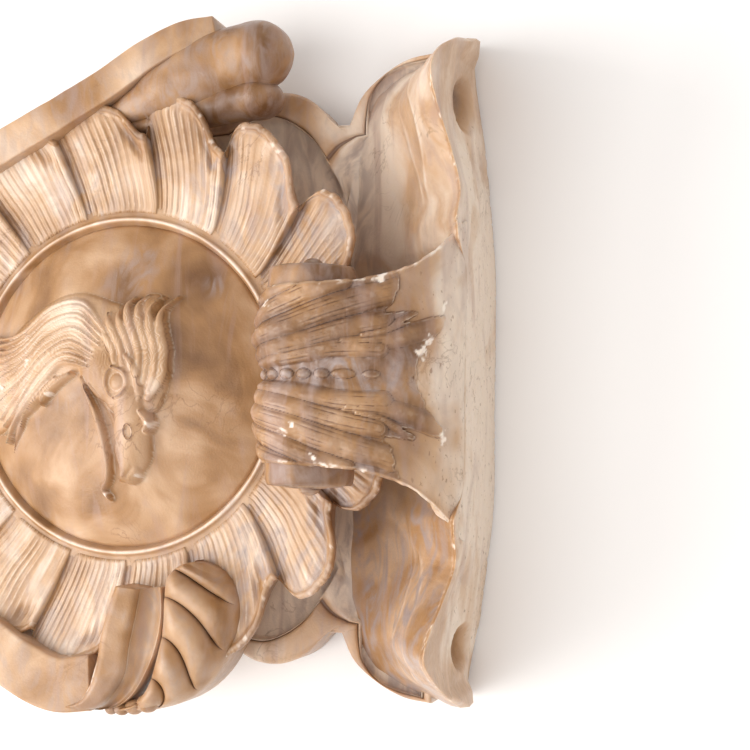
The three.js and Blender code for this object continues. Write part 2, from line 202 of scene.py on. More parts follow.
def softened(values, edges, rounds):
    """Values averaged with their neighbours' along the edges, a number of times."""
    count = len(values)
    ends = np.concatenate([edges[:, 0], edges[:, 1]])
    others = np.concatenate([edges[:, 1], edges[:, 0]])
    degree = np.maximum(np.bincount(ends, minlength=count), 1)
    for _ in range(rounds):
        sums = [np.bincount(ends, values[others, axis], count) for axis in range(values.shape[1])]
        values = 0.4 * values + 0.6 * np.stack(sums, 1) / degree[:, None]
    return values


def read_wear(mesh, fine, coarse):
    """Keeps how far each vertex stands out from the stone around it, in mm, closely and broadly."""
    places = read_places(mesh) / MM
    edges = np.empty(len(mesh.edges) * 2, np.int32)
    mesh.edges.foreach_get("vertices", edges)
    edges = edges.reshape(-1, 2)
    normals = np.empty(len(mesh.vertices) * 3, np.float32)
    mesh.vertex_normals.foreach_get("vector", normals)
    normals = normals.reshape(-1, 3)
    lengths = np.linalg.norm(places[edges[:, 0]] - places[edges[:, 1]], axis=1)
    sums = np.bincount(edges.ravel(), np.repeat(lengths, 2), len(places))
    cell = sums / np.maximum(np.bincount(edges.ravel(), minlength=len(places)), 1)
    scale = 0.25 / np.maximum(softened(cell[:, None], edges, 6)[:, 0], 0.5) ** 2
    near = softened(places, edges, fine)
    far = softened(near, edges, coarse)
    set_attribute(mesh, "edge", ((places - near) * normals).sum(1) * scale)
    set_attribute(mesh, "hollow", ((places - far) * normals).sum(1) * np.sqrt(scale))


# What a piece may say of its own stone: its tone, its marbling, sawn or weathered faces, bruises, and
# fine cuts (below 0) or worn ridges (above 0), which on the eagle's locks are also painted shade and
# highlight
PAINT = ("pale", "grey", "rough", "chip", "carve")


def skin(name, places, material, paint, fine=3, coarse=24):
    """Makes a piece of a grid of places in mm, as x, depth and z. Places that meet are joined."""
    rows, cols = places.shape[:2]
    bm = bmesh.new()
    bmesh.ops.create_grid(bm, x_segments=cols - 1, y_segments=rows - 1, size=1)
    mesh = bpy.data.meshes.new(name)
    bm.to_mesh(mesh)
    bm.free()
    spots = places.reshape(-1, 3) * (MM, -MM, MM)
    spots[:, 1] = np.minimum(spots[:, 1], 0.0)
    mesh.vertices.foreach_set("co", spots.ravel())
    for key in PAINT:
        set_attribute(mesh, key, np.broadcast_to(paint.get(key, 0.0), (rows, cols)))
    bm = bmesh.new()
    bm.from_mesh(mesh)
    bmesh.ops.remove_doubles(bm, verts=bm.verts, dist=2e-6)
    bmesh.ops.dissolve_degenerate(bm, dist=1e-7, edges=bm.edges)
    bmesh.ops.holes_fill(bm, edges=bm.edges, sides=0)
    bmesh.ops.recalc_face_normals(bm, faces=bm.faces)
    bm.to_mesh(mesh)
    bm.free()
    mesh.shade_smooth()
    read_wear(mesh, fine, coarse)
    mesh.materials.append(material)
    return finish_piece(bpy.data.objects.new(name, mesh))


def finish_piece(piece):
    bpy.context.scene.collection.objects.link(piece)
    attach(piece, "root")
    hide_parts(STONE_NODE)
    return piece


ROUND_END = tuple(math.sin(k * math.pi / 28) for k in range(14))


def capped(places, rounds=(0.0, 0.55, 0.85, 0.97), bulge=0.0):
    """Closes both ends of a tube of rings with smaller and smaller rings round their middles."""
    def end(ring, beyond):
        middle = ring.mean(0)
        away = middle - beyond.mean(0)
        away /= max(np.linalg.norm(away), 1e-9)
        return [middle + (ring - middle) * size + away * bulge * math.sqrt(max(1 - size * size, 0))
                for size in rounds]

    first = end(places[0], places[1])
    last = end(places[-1], places[-2])
    return np.concatenate([np.stack(first), places, np.stack(last[::-1])])


def spread(paint, shape, rows, cols):
    """Carries the paint of a sheet on to the rows and columns that close it, before and after its own."""
    return {key: np.pad(np.broadcast_to(value, shape), (rows, cols), "edge") for key, value in paint.items()}


def sideways(middle):
    """The sideways direction at each place of a curve, square to its run and level with the wall."""
    tangent = np.gradient(middle, axis=0)
    tangent /= np.linalg.norm(tangent, axis=1, keepdims=True)
    side = np.cross(tangent, (0, 1, 0))
    return side / np.linalg.norm(side, axis=1, keepdims=True)


def tube(line, width, height, count, around):
    """Rings along a curve; width and height are functions of the run."""
    s = np.linspace(0, 1, count)
    middle = along(line, s)
    angle = np.linspace(0, 2 * math.pi, around + 1)
    across = sideways(middle)[:, None] * (width(s)[:, None] * np.cos(angle))[..., None]
    places = middle[:, None] + across
    places[..., 1] += height(s)[:, None] * np.sin(angle)
    return places


# Stone

def linear(hex_code):
    """A colour written as sRGB hex, as linear numbers."""
    channels = [int(hex_code[i:i + 2], 16) / 255 for i in (1, 3, 5)]
    return tuple(c / 12.92 if c <= 0.04045 else ((c + 0.055) / 1.055) ** 2.4 for c in channels) + (1.0,)


def add(nodes, kind, inputs=(), **settings):
    """Adds a node with its settings, and a number, colour or link for each input by its name or number."""
    node = nodes.new(kind)
    for key, value in settings.items():
        setattr(node, key, value)
    for key, value in dict(inputs).items():
        if isinstance(value, bpy.types.NodeSocket):
            nodes.id_data.links.new(value, node.inputs[key])
        else:
            node.inputs[key].default_value = value
    return node


def maths(nodes, operation, a, b):
    return add(nodes, "ShaderNodeMath", {0: a, 1: b}, operation=operation).outputs[0]


def ramp_of(nodes, fac, stops, kind="LINEAR"):
    """A colour ramp through a few places and colours or greys."""
    node = add(nodes, "ShaderNodeValToRGB", {0: fac})
    ramp_curve = node.color_ramp
    ramp_curve.interpolation = kind
    while len(ramp_curve.elements) < len(stops):
        ramp_curve.elements.new(0.5)
    for element, (place, colour) in zip(ramp_curve.elements, stops):
        element.position = place
        element.color = linear(colour) if isinstance(colour, str) else (colour, colour, colour, 1)
    return node.outputs["Color"]


def blend_colour(nodes, fac, a, b, mode="MIX"):
    return add(nodes, "ShaderNodeMix", {0: fac, 6: a, 7: b}, data_type="RGBA", blend_type=mode).outputs[2]


def measure(nodes, value, low, high, to_low=0.0, to_high=1.0):
    """Brings a value from one range into another, smoothly, and holds it there."""
    return add(nodes, "ShaderNodeMapRange", {0: value, 1: low, 2: high, 3: to_low, 4: to_high},
               interpolation_type="SMOOTHSTEP").outputs[0]


# How much the cuts and ridges that a piece states count beside the edges of its mesh
CARVE_SHARE = 0.16


def alabaster(name, look):
    """Carved and waxed alabaster: veined, a little translucent, darker in its hollows, pale at worn edges."""
    material = bpy.data.materials.new(name)
    material.use_nodes = True
    nodes = material.node_tree.nodes
    nodes.clear()
    place = add(nodes, "ShaderNodeTexCoord").outputs["Object"]
    read = lambda key: add(nodes, "ShaderNodeAttribute", attribute_name=key).outputs["Fac"]
    pale, grey, edge, hollow, rough, carve = (
        read(key) for key in ("pale", "grey", "edge", "hollow", "rough", "carve"))
    edge = maths(nodes, "ADD", edge, maths(nodes, "MULTIPLY", carve, CARVE_SHARE))

    def clouds(size_mm, detail, distortion, stretch=(1, 1, 1), shift=(0, 0, 0)):
        turned = add(nodes, "ShaderNodeMapping", {0: place, 1: shift, 3: stretch}).outputs[0]
        return add(nodes, "ShaderNodeTexNoise", {
            0: turned, "Scale": 1000 / size_mm, "Detail": detail, "Distortion": distortion}).outputs["Fac"]

    tone = maths(nodes, "ADD", pale, measure(nodes, clouds(46, 4, 1.2), 0.3, 0.7, -0.22, 0.22))
    colour = ramp_of(nodes, tone, look.tones)
    # Strata in the block, long in x and thin in z
    strata = clouds(30, 6, 1.6, (0.35, 0.8, 2.4), (3, 1, 2))
    strata = measure(nodes, strata, 0.5, 0.72, 0, look.strata)
    colour = blend_colour(nodes, strata, colour, linear(look.mauve))
    # Grey and mauve marbling, strongest where the piece says
    marbling = measure(nodes, clouds(17, 7, 2.2, (0.7, 1, 1.5), (1, 5, 3)), 0.36, 0.7)
    marks = maths(nodes, "MULTIPLY", grey, marbling)
    colour = blend_colour(nodes, marks, colour, linear(look.shade))
    # Thin brown veins
    vein_field = clouds(38, 5, 3.0, (1, 1, 1.3), (9, 2, 4))
    vein = ramp_of(nodes, vein_field, [(0.482, 0.0), (0.5, 1.0), (0.518, 0.0)])
    patch = measure(nodes, clouds(60, 2, 0.3, shift=(4, 4, 8)), 0.5, 0.66)
    veined = maths(nodes, "MULTIPLY", maths(nodes, "MULTIPLY", vein, patch), look.veins)
    colour = blend_colour(nodes, veined, colour, linear(look.brown))
    # Old wax and dust in the hollows, bare pale stone on the worn edges; on the eagle's locks the cuts and
    # ridges also paint shade and highlight
    speckle = clouds(2.4, 3, 0.4)
    dark = measure(nodes, hollow, -0.15, -1.5, 0, look.dirt)
    colour = blend_colour(nodes, dark, colour, linear(look.brown), "MULTIPLY")
    groove = measure(nodes, edge, -0.01, -0.16, 0, look.groove)
    colour = blend_colour(nodes, groove, colour, linear(look.brown), "MULTIPLY")
    worn = measure(nodes, edge, 0.02, 0.16, 0, look.wear)
    worn = maths(nodes, "MULTIPLY", worn, measure(nodes, speckle, 0.3, 0.62, 0.35, 1.0))
    colour = blend_colour(nodes, worn, colour, linear(look.cream))
    # Fresh white bruises
    colour = blend_colour(nodes, read("chip"), colour, linear(look.bruise))
    # Sawn and weathered top: dusty, with fine dark pits
    pits = measure(nodes, clouds(1.7, 3, 0.2, (0.6, 1, 1), (7, 7, 7)), 0.62, 0.72)
    pits = measure(nodes, maths(nodes, "MULTIPLY", pits, rough), 0, 1, 0, 0.5)
    colour = blend_colour(nodes, pits, colour, linear(look.brown))
    shine = maths(nodes, "ADD", measure(nodes, speckle, 0.3, 0.7, look.polish, look.polish + 0.12),
                  measure(nodes, rough, 0, 1, 0, 0.4))
    tooling = add(nodes, "ShaderNodeBump", {
        "Height": clouds(1.1, 4, 0.3), "Strength": look.pick, "Distance": 0.0004}).outputs[0]
    surface = add(nodes, "ShaderNodeBsdfPrincipled", {
        "Base Color": colour, "Roughness": shine, "Normal": tooling, "IOR": 1.52, "Specular IOR Level": 0.5,
        "Subsurface Weight": 0.22, "Subsurface Radius": (1.0, 0.7, 0.5), "Subsurface Scale": 0.0035})
    add(nodes, "ShaderNodeOutputMaterial", {0: surface.outputs[0]})
    return material


# Shelf and cove

LEFT_DEPTH = [(0, 92), (0.3, 92), (0.43, 101), (0.53, 93), (0.63, 107), (0.71, 122),
              (0.79, 128), (0.86, 123), (0.9, 113), (0.94, 97), (0.97, 83), (1, 62)]
RIGHT_DEPTH = [(0, 92), (0.3, 92), (0.43, 101), (0.55, 93), (0.66, 109), (0.74, 124),
               (0.81, 128), (0.88, 114), (0.95, 88), (1, 60)]
FRONT_HEIGHT = [(0.3, 0), (0.43, -1), (0.55, -1.5), (0.66, -4), (0.81, -8), (0.88, -7), (0.95, -5), (1, -4)]
FOOT_HEIGHT = [(0, 99), (0.78, 99), (0.86, 105), (0.93, 114), (0.98, 128), (1, 134)]

# Where the two carved terraces of the cove run: x, and the share of the way from the arris to the foot
TERRACES = [
    [(-147, 0.30), (-133, 0.28), (-118, 0.20), (-104, 0.19), (-90, 0.22), (-78, 0.24)],
    [(-147, 0.44), (-133, 0.42), (-118, 0.37), (-104, 0.33), (-90, 0.30), (-76, 0.30)],
    [(66, 0.42), (76, 0.25), (88, 0.20), (100, 0.19), (112, 0.19), (124, 0.20), (138, 0.24)],
    [(56, 0.42), (66, 0.36), (80, 0.31), (92, 0.33), (106, 0.36), (118, 0.37), (128, 0.38), (138, 0.40)],
]


def shelf_reach(x):
    return np.where(x < 0, SHELF_LEFT, SHELF_RIGHT)


def shelf_top(x, depth, front):
    share = np.clip(np.abs(x) / shelf_reach(x), 0, 1)
    droop = 8.0 * ramp(np.abs(x), 42.0, shelf_reach(x))
    toward = np.clip(depth / front, 0, 1)
    return SHELF_TOP + mix(-droop, through(share, FRONT_HEIGHT), toward**2)


def shelf_and_cove(stone):
    """The flat-topped shelf with its two horns, and the hollow moulding that carries it."""
    rows = 400
    top_cols, lip_cols, cove_cols = 66, 9, 84
    u = np.linspace(0, 1, rows)
    x = mix(-SHELF_LEFT, SHELF_RIGHT, u)[:, None]
    share = np.clip(np.abs(x) / shelf_reach(x), 0, 1)
    nibble = grain(np.concatenate([x, x * 0], 1), (4.5, 9), 3, 3)[:, None]
    front = np.where(x < 0, through(share, LEFT_DEPTH), through(share, RIGHT_DEPTH))
    front = front - 0.8 * np.clip(nibble, 0, 1) * ramp(np.abs(x), 40, 60) - 8.0 * ramp(np.abs(x), 60, 50)
    foot_z = through(share, FOOT_HEIGHT)
    lip = mix(1.8, 5.5, ramp(share, 0.7, 0.9))
    # Top, from the wall to where the lip begins to round over
    d = np.linspace(0, 1, top_cols)[None] * (front - lip)
    z = shelf_top(x, d, front)
    top = grid(x, d, z)
    # Cove, from under the lip down to the foot
    arris_z = shelf_top(x, front, front)
    bend_z = mix(foot_z, arris_z, 0.42)
    start = np.clip(lip / 60, 0.02, 0.08)
    s = start + (1 - start) * np.linspace(0, 1, cove_cols)[None]
    cove_d = (1 - s) ** 2 * front + 2 * s * (1 - s) * (COVE_FOOT_DEPTH + 8) + s**2 * COVE_FOOT_DEPTH
    cove_z = (1 - s) ** 2 * arris_z + 2 * s * (1 - s) * bend_z + s**2 * foot_z
    cove = grid(x, cove_d, cove_z)
    # The worn lip joins them in a small curve round the arris
    t = np.linspace(0, 1, lip_cols + 2)[None, 1:-1, None]
    corner = np.concatenate([x, front, arris_z], 1)[:, None]
    round_lip = (1 - t) ** 2 * top[:, -1:] + 2 * t * (1 - t) * corner + t**2 * cove[:, :1]
    middle_z = z[:, :1] * 0.5 + foot_z * 0.5
    back = np.stack([np.concatenate([x, x * 0, foot_z], 1), np.concatenate([x, x * 0, middle_z], 1)], 1)
    places = np.concatenate([top, round_lip, cove, back], 1)
    flat_x = np.broadcast_to(x, places.shape[:2])
    col = np.arange(places.shape[1])[None]
    on_top = ramp(col, top_cols + lip_cols * 0.3, top_cols - 6.0) * np.ones(flat_x.shape)
    in_cove = ((col >= top_cols + lip_cols) & (col < top_cols + lip_cols + cove_cols)) * np.ones(flat_x.shape)
    cove_s = np.clip((col - top_cols - lip_cols) / (cove_cols - 1), 0, 1) * np.ones(flat_x.shape)

    plan = grid(places[..., 0], places[..., 1])
    # Sawn top: long shallow tool marks and pits; the horns are hollowed and polished
    inland = 1 - ramp(np.abs(flat_x), 62, 92)
    behind = ramp(places[..., 1], 99, 88)
    sawn = on_top * np.clip(inland + ramp(places[..., 1], 96, 60) * ramp(np.abs(flat_x), 132, 112), 0, 1)
    height = -0.35 * sawn * (grain(plan, (26, 1.9), 5, 2) * 0.5 + 0.5)
    height -= 0.5 * sawn * smooth(grain(plan, (3.2, 2.2), 7, 2) * 1.6 - 0.75)
    hollowed = np.zeros(flat_x.shape)
    for scoop_x, scoop_depth, wide, long in ((-125.0, 50.0, 12.5, 22.0), (117.0, 42.0, 10.5, 21.0)):
        gap = np.hypot((flat_x - scoop_x) / wide, (places[..., 1] - scoop_depth) / long)
        hollowed = np.maximum(hollowed, smooth(1.6 * (1.12 - gap)))
        dish = np.hypot((flat_x - 0.88 * scoop_x) / 26.0, (places[..., 1] - 80) / 34.0)
        height -= 2.0 * on_top * smooth(1.2 - dish)
    height -= 6.5 * on_top * hollowed
    # A thick rim stands round each end
    end_rim = on_top * ramp(share, 0.925, 0.975)
    height += 3.2 * end_rim * ramp(places[..., 1], 100, 60) * ramp(places[..., 1], 2, 34)
    height -= 4.0 * on_top * ramp(share, 0.7, 1.0) * ramp(places[..., 1], 30, 0)
    places = places + np.stack([np.zeros_like(height), np.zeros_like(height), height], -1)

    # Terraces of the cove, each a low step with a worn rim
    relief = np.zeros(flat_x.shape)
    rim = np.zeros(flat_x.shape)
    for line in TERRACES:
        low, high = line[0][0], line[-1][0]
        at = through(flat_x, line)
        fade = ramp(flat_x, low - 1, low + 14) * ramp(flat_x, high + 1, high - 12)
        step = ramp(cove_s, at + 0.045, at - 0.012)
        relief += 1.5 * fade * in_cove * step * ramp(at - cove_s, 0.3, 0.05)
        rim += fade * in_cove * bump(cove_s, at - 0.012, 0.018)
    relief += in_cove * 0.5 * grain(places, (24, 24, 9), 11, 2)
    relief *= ramp(cove_s, 1.0, 0.93) * ramp(cove_s, 0.0, 0.04)
    places = proud(places, relief, -1.0)
    # One old crack through the left arris
    crack = np.abs(flat_x + 64 + 0.35 * (places[..., 1] - 92) - 1.2 * grain(plan, (6, 6), 13, 2))
    crack = smooth(1 - crack / 0.8) * ramp(places[..., 1], 80, 92) * ramp(places[..., 2], 140, 150)
    places = proud(places, -0.8 * crack, -1.0)
    places[..., 2] = np.minimum(places[..., 2], SHELF_TOP)
    # Each end leans outward the nearer it comes to the wall
    lean = np.where(flat_x < 0, -LEFT_LEAN, RIGHT_LEAN) * np.maximum(60 - places[..., 1], 0)
    places[..., 0] += lean * share**8 * ramp(places[..., 2], 138, 155)

    stain = 0.95 * on_top * hollowed
    shade = 0.7 * ramp(cove_s, 0.6, 0.95) + 0.85 * ramp(flat_x, 30, 80) * in_cove
    shade += 0.35 * bump(cove_s, 0.3, 0.2)
    pale = 0.72 + 0.34 * sawn - 0.62 * stain - 0.05 * ramp(cove_s, 0.5, 1.0)
    pale = pale - 0.1 * behind * (1 - inland) * on_top
    chips = smooth(grain(places, 2.6, 17, 2) * 1.4 - 0.55) * bump(col, top_cols + lip_cols * 0.6, 5.5)
    chips = chips * ramp(np.abs(flat_x), 44, 60) * 0.8
    edge_line = bump(col, top_cols + lip_cols * 0.55, 4.5) * ramp(np.abs(flat_x), 44, 60)
    pale = pale - 0.25 * edge_line * (1 - on_top) + 0.22 * rim - 0.2 * in_cove * ramp(flat_x, 20, 80)
    # Painted light: the lower part of the cove's left side is painted paler, standing in for light from below
    # that the collar keeps off it
    pale = pale + 0.28 * in_cove * ramp(cove_s, 0.4, 0.8) * ramp(flat_x, 10, -60)
    paint = {"pale": pale, "grey": np.clip(shade * (1 - on_top), 0, 1), "rough": sawn * 0.95,
             "chip": np.clip(chips, 0, 1)}
    paint = spread(paint, flat_x.shape, (4, 4), (0, 0))
    places = capped(places, (0.0, 0.5, 0.82, 0.955), 1.6)
    places = np.concatenate([places, places[:, :1]], 1)
    paint = {key: np.concatenate([v, v[:, :1]], 1) for key, v in paint.items()}
    return skin("shelf_and_cove", places, stone, paint, 3, 26)


# Back plate

PLATE_UPPER = [(1, 141), (0.985, 128), (0.935, 114), (0.875, 104), (0.79, 98)]
PLATE_LOWER = [(0.79, 91), (0.865, 80), (0.895, 69), (0.89, 57), (0.855, 47), (0.81, 36)]
PLATE_TAIL = [(0.8, -10), (0.72, -60), (0.56, -112), (0.3, -160), (0.06, -184)]
# The cut line inside the edge, which dips between the two lobes
LINE_UPPER = [(0.985, 137), (0.965, 124), (0.93, 114), (0.875, 108), (0.81, 106), (0.76, 105.5)]
LINE_DIP = [(0.755, 101), (0.728, 93), (0.69, 87.5)]
LINE_LOWER = [(0.70, 86), (0.755, 80), (0.80, 71), (0.825, 61), (0.815, 50), (0.775, 38)]
LINE_TAIL = [(0.75, -10), (0.67, -60), (0.51, -112), (0.26, -156), (0.05, -178)]


def plate_line(reach, parts):
    return np.concatenate([
        along([(share * reach, z) for share, z in part], np.linspace(0, 1, count)) for part, count in parts])


def plate_loop(parts):
    right = plate_line(PLATE_RIGHT, parts)
    left = plate_line(PLATE_LEFT, parts)[::-1] * (-1, 1)
    return np.concatenate([right, left, right[:1]])


def back_plate(stone):
    """The flat plate behind everything, with its lobed edge set off by a cut line."""
    outer = plate_loop(((PLATE_UPPER, 80), (PLATE_LOWER, 110), (PLATE_TAIL, 60)))
    inner = plate_loop(((LINE_UPPER, 80), (LINE_DIP, 40), (LINE_LOWER, 70), (LINE_TAIL, 60)))
    # Each ring's share of the way from the edge to the cut line, and its depth
    rings = [(0, 0), (0, 12), (0, 22), (0, 24.6), (0.03, 25.8), (0.09, 26.6), (0.18, 27.0), (0.4, 27.1),
             (0.7, 26.9), (0.86, 26.6), (0.93, 26.0), (0.965, 25.0), (1.0, 24.2), (1.035, 24.6),
             (1.07, 25.6), (1.12, 26.0), (1.2, 25.4), (1.35, 23.6), (1.6, 22.0)]
    sets = []
    for share, depth in rings:
        line = mix(outer, inner, share)
        sets.append(np.concatenate([line[:, :1], np.full((len(line), 1), depth), line[:, 1:]], 1))
    spine = np.stack([np.zeros(len(outer)), np.full(len(outer), 19.0), np.clip(outer[:, 1], -150, 105)], 1)
    for share in (0.12, 0.3, 0.6, 1.0):
        sets.append(mix(sets[len(rings) - 1], spine, share))
    back = spine * (1, 0, 1)
    places = np.stack([back] + sets)
    waver = grain(places, (18, 18, 12), 21, 2)
    places[..., 1] += 0.35 * waver * (places[..., 1] > 18)
    shade = 0.3 + 0.5 * ramp(places[..., 2], 60, 100) * (places[..., 1] < 24)
    row = np.arange(len(places))[:, None]
    groove = bump(row, 13, 1.6) * np.ones(len(outer))
    # Painted light: the plate inside its cut line is painted much paler, to make up for the shade the rolls
    # and the collar cast on it
    inside = ramp(row, 15, 18)
    paint = {"pale": 0.7 + 0.1 * waver + 0.5 * inside, "grey": shade, "carve": -1.5 * groove}
    return skin("back_plate", places, stone, paint, 1, 5)


# Medallion, collar and rim share one tilted disc

def on_disc(right, up, out):
    return grid(
        BOSS_X + right,
        BOSS_DEPTH + up * math.sin(BOSS_TILT) + out * math.cos(BOSS_TILT),
        BOSS_Z + up * math.cos(BOSS_TILT) - out * math.sin(BOSS_TILT))


def round_disc(radius, turn, out):
    """Places on the disc by their distance from its middle and their turn from its top."""
    return on_disc(radius * np.sin(turn), radius * np.cos(turn), out)


def dome(r):
    return np.sqrt(np.maximum(DOME_RADIUS**2 - r**2, 0)) - DOME_RADIUS + BOSS_RISE


COLLAR_INNER = 81.0
# How far the collar's lip stands from the disc's middle in its creases and on its lobes
CREASE_REACH = 120.5
LOBE_REACH = 133.6
# Where the creases between the lobes meet the rim, in degrees from the top
LEFT_CREASES = [0, 17, 36.8, 58.2, 79.8, 105.1, 129, 154, 180]
RIGHT_CREASES = [0, 22, 41.5, 66.3, 87.9, 108.3, 133.2, 157, 180]
# How far each crease leans down by the time it reaches the lip, in degrees, by its angle at the rim
CREASE_LEAN = [(0, 0), (17, 5), (37, 7.2), (58, 8.2), (80, 6.6), (105, 3), (129, 0), (154, 0), (180, 0)]


def shell_collar(stone):
    """Ring of shell lobes round the medallion. Each lobe's upper edge lies over the end of the one above."""
    rows, cols = 1900, 27
    angle = np.linspace(0, 360, rows)[:, None]
    side = np.where(angle <= 180, 1.0, -1.0)
    down = np.where(angle <= 180, angle, 360 - angle)
    lobe = np.zeros(angle.shape, int)
    t = np.zeros(angle.shape)
    for creases, where in ((RIGHT_CREASES, side > 0), (LEFT_CREASES, side < 0)):
        i = np.clip(np.searchsorted(creases, down, side="right") - 1, 0, len(creases) - 2)
        starts, ends = np.array(creases)[i], np.array(creases)[i + 1]
        t = np.where(where, (down - starts) / (ends - starts), t)
        lobe = np.where(where, i, lobe)
    even = through(t, [(0, 0.0), (0.07, 0.26), (0.2, 0.5), (0.45, 0.78), (0.7, 1.0), (0.86, 0.93),
                       (0.95, 0.6), (1, 0.12)])
    stepped = through(t, [(0, -0.3), (0.1, -0.2), (0.17, 0.0), (0.23, 0.36), (0.31, 0.7), (0.45, 0.93),
                          (0.6, 1.02), (0.78, 0.93), (0.9, 0.6), (1, 0.05)])
    arch = mix(even, stepped, ramp(down, 88, 82))
    lip = mix(CREASE_REACH, LOBE_REACH, arch) + 2.4 * arch * bump(down, 78, 40) * (side < 0)
    worn = grain(np.concatenate([angle * 1.9, lobe * 9.0], 1), (3.2, 1.0), 31, 3)[:, None]
    lip = lip + 0.45 * worn
    # From the rim out to the lip
    f = np.linspace(0, 1, cols)[None]
    r = mix(COLLAR_INNER, lip - 3.0, f)
    grow = smooth(f) * 0.6 + 0.4 * f
    over = through(t, [(0, 5.9), (0.03, 6.5), (0.1, 5.9), (0.3, 5.4), (0.6, 5.2), (0.8, 4.2),
                       (0.92, 2.0), (1, 0.6)])
    near = through(t, [(0, 0.9), (0.04, 1.1), (0.2, 0.7), (0.6, 0.4), (0.9, 0.0), (1, -0.2)])
    out = mix(near, over, grow) - 0.8
    pocket = bump(t, 0.16, 0.17) * bump(f, 0.84, 0.2)
    out = out - 2.2 * pocket
    # Fine flutes that follow the lobe
    sheet = grid(r, angle * 1.6)
    wandering = t + 0.012 * grain(sheet, (16, 20), 33, 2)
    number = 11.0 + (lobe % 3)
    wave = np.abs(np.sin(math.pi * number * wandering)) ** 0.6
    second = np.abs(np.sin(math.pi * (number * 2.0 + 1) * wandering + 0.6)) ** 0.7
    strength = np.clip(0.95 + 0.5 * grain(sheet, (30, 9), 35, 2), 0.3, 1.6)
    fade = ramp(f, 0.0, 0.08) * ramp(f, 1.0, 0.9) * ramp(t, 1.0, 0.93) * ramp(t, 0.0, 0.03)
    cut = fade * strength * (0.7 * wave + 0.3 * second - 0.6)
    out = out + 0.95 * cut
    lean = through(down, CREASE_LEAN) * np.clip((r - 84) / 40, 0, 1.1) ** 1.1
    turn = np.radians(down + lean) * side
    front = round_disc(r, turn, out)
    # The thick rolled lip, then its outer side down to the wall
    edge_out = out[:, -1:]
    last = turn[:, -1:]
    lip_rings = []
    for grow_r, grow_out in ((-2.2, 0.7), (-1.2, 1.3), (0.1, 1.3), (0.9, 0.7), (1.2, -0.6), (0.9, -2.4),
                             (-0.6, -5.0)):
        lip_rings.append(round_disc(lip + grow_r, last, edge_out + grow_out + 0.25 * worn)[:, 0])
    lower = []
    for radius, level in ((mix(lip, 112, 0.4), -12.0), (mix(lip, 110, 0.8), -19.0), (106.0, -34.0),
                          (104.0, -100.0), (76.0, -100.0), (76.0, -8.0)):
        lower.append(round_disc(radius, last, level)[:, 0])
    start = [round_disc(COLLAR_INNER, turn[:, :1], -8.0)[:, 0]]
    places = np.concatenate([front, np.stack(lip_rings + lower + start, 1), front[:, :1]], 1)
    places[-1] = places[0]
    # Which columns are the fluted front, the rolled lip, and the side behind it
    blank = np.zeros(places.shape[:2])
    fluted, rolled, side_stone, streak, crease_shade, carve = (blank.copy() for _ in range(6))
    fluted[:, :cols] = 1.0
    rolled[:, cols:cols + 4] = 1.0
    side_stone[:, cols + 4:] = 1.0
    tint = grain(places, (34, 34, 20), 37, 2)
    streak[:, :cols] = grain(sheet, (40, 2.2), 39, 2)
    level = places[..., 2]
    # Painted shade and light: the upper lobes are painted darker and greyer and the lower lobes paler,
    # following the light from below
    top_shade = ramp(level, 20, 100)
    pale = 0.5 + (0.12 - 0.12 * top_shade) * fluted - 0.16 * rolled + 0.1 * tint + 0.14 * streak
    pale = pale + 0.16 * fluted * ramp(level, 40, -60)
    # Painted shade: each lobe is painted darker and greyer at its lower end, where it tucks under the next
    # lobe's proud edge, and in the pocket near the lip at its upper end
    crease_shade[:, :cols] = ramp(t, 0.78, 0.97) + 0.8 * bump(t, 0.2, 0.2) * bump(f, 0.88, 0.2)
    pale = pale - 0.46 * crease_shade
    grey = 0.35 * fluted + 0.3 * tint * fluted + 0.25 * crease_shade
    pale = pale - 0.2 * side_stone
    carve[:, :cols] = np.where(cut < 0, 1.1, 1.3) * cut
    chip = rolled * smooth(grain(places, 3.0, 41, 2) * 1.6 - 0.9) * 0.6
    return skin("shell_collar", places, stone, {
        "pale": pale, "grey": np.clip(grey + 0.35 * top_shade, 0, 1), "carve": carve, "chip": chip}, 2, 10)


def medallion_rim(stone):
    """The moulded ring round the boss, with a thin bright fillet."""
    # Distance from the middle and height over the disc, once round the moulding
    profile = [(70, -8), (74.4, -3.4), (75.4, -1.9), (76.1, -0.3), (76.8, 0.8), (77.5, 1.15), (78.2, 0.8),
               (78.8, 0.0), (79.5, -0.5), (81, -0.7), (82.6, -0.7), (83.8, -0.9), (84.4, -1.8), (84.5, -3.5),
               (84.4, -8)]
    turn = np.linspace(0, 2 * math.pi, 540)[:, None]
    line = along(profile, np.linspace(0, 1, 54))
    line = np.concatenate([line, line[:1]])
    r, out = line[:, 0][None], line[:, 1][None]
    waver = grain(np.concatenate([np.cos(turn) * 80, np.sin(turn) * 80], 1), 9, 43, 2)[:, None]
    lifted = out + 0.22 * waver * (out > 0)
    places = round_disc(r, turn, lifted)
    places[-1] = places[0]
    pale = 0.4 + 0.55 * bump(r, 77.5, 1.3) + 0.08 * waver
    return skin("medallion_rim", places, stone, {"pale": pale, "grey": 0.25}, 1, 8)


# Eagle's head, in the disc's own right and up

CREST = [
    [(7, 23.5), (-3, 29.2), (-13, 29.8), (-23, 27.2), (-32, 27.4), (-39.6, 34.6)],
    [(4, 24), (-6, 26.6), (-16, 25.8), (-26, 22.8), (-33.5, 22), (-39.4, 27.6)],
    [(0, 21.6), (-10, 23), (-20, 20.8), (-29, 17), (-35.5, 16.4), (-39.8, 20.8)],
    [(-4, 18.6), (-13, 18.8), (-22, 15.8), (-30, 11.8), (-35.5, 11.4), (-39, 15)],
    [(-6, 15), (-14, 14.6), (-22, 11.2), (-29, 7.4), (-35, 8)],
    [(-8, 11.5), (-15, 10.2), (-22, 6.4), (-28, 2.8), (-32, 2.4)],
    [(-9, 7.8), (-15, 6.0), (-20, 2.8), (-25, -0.4)],
]
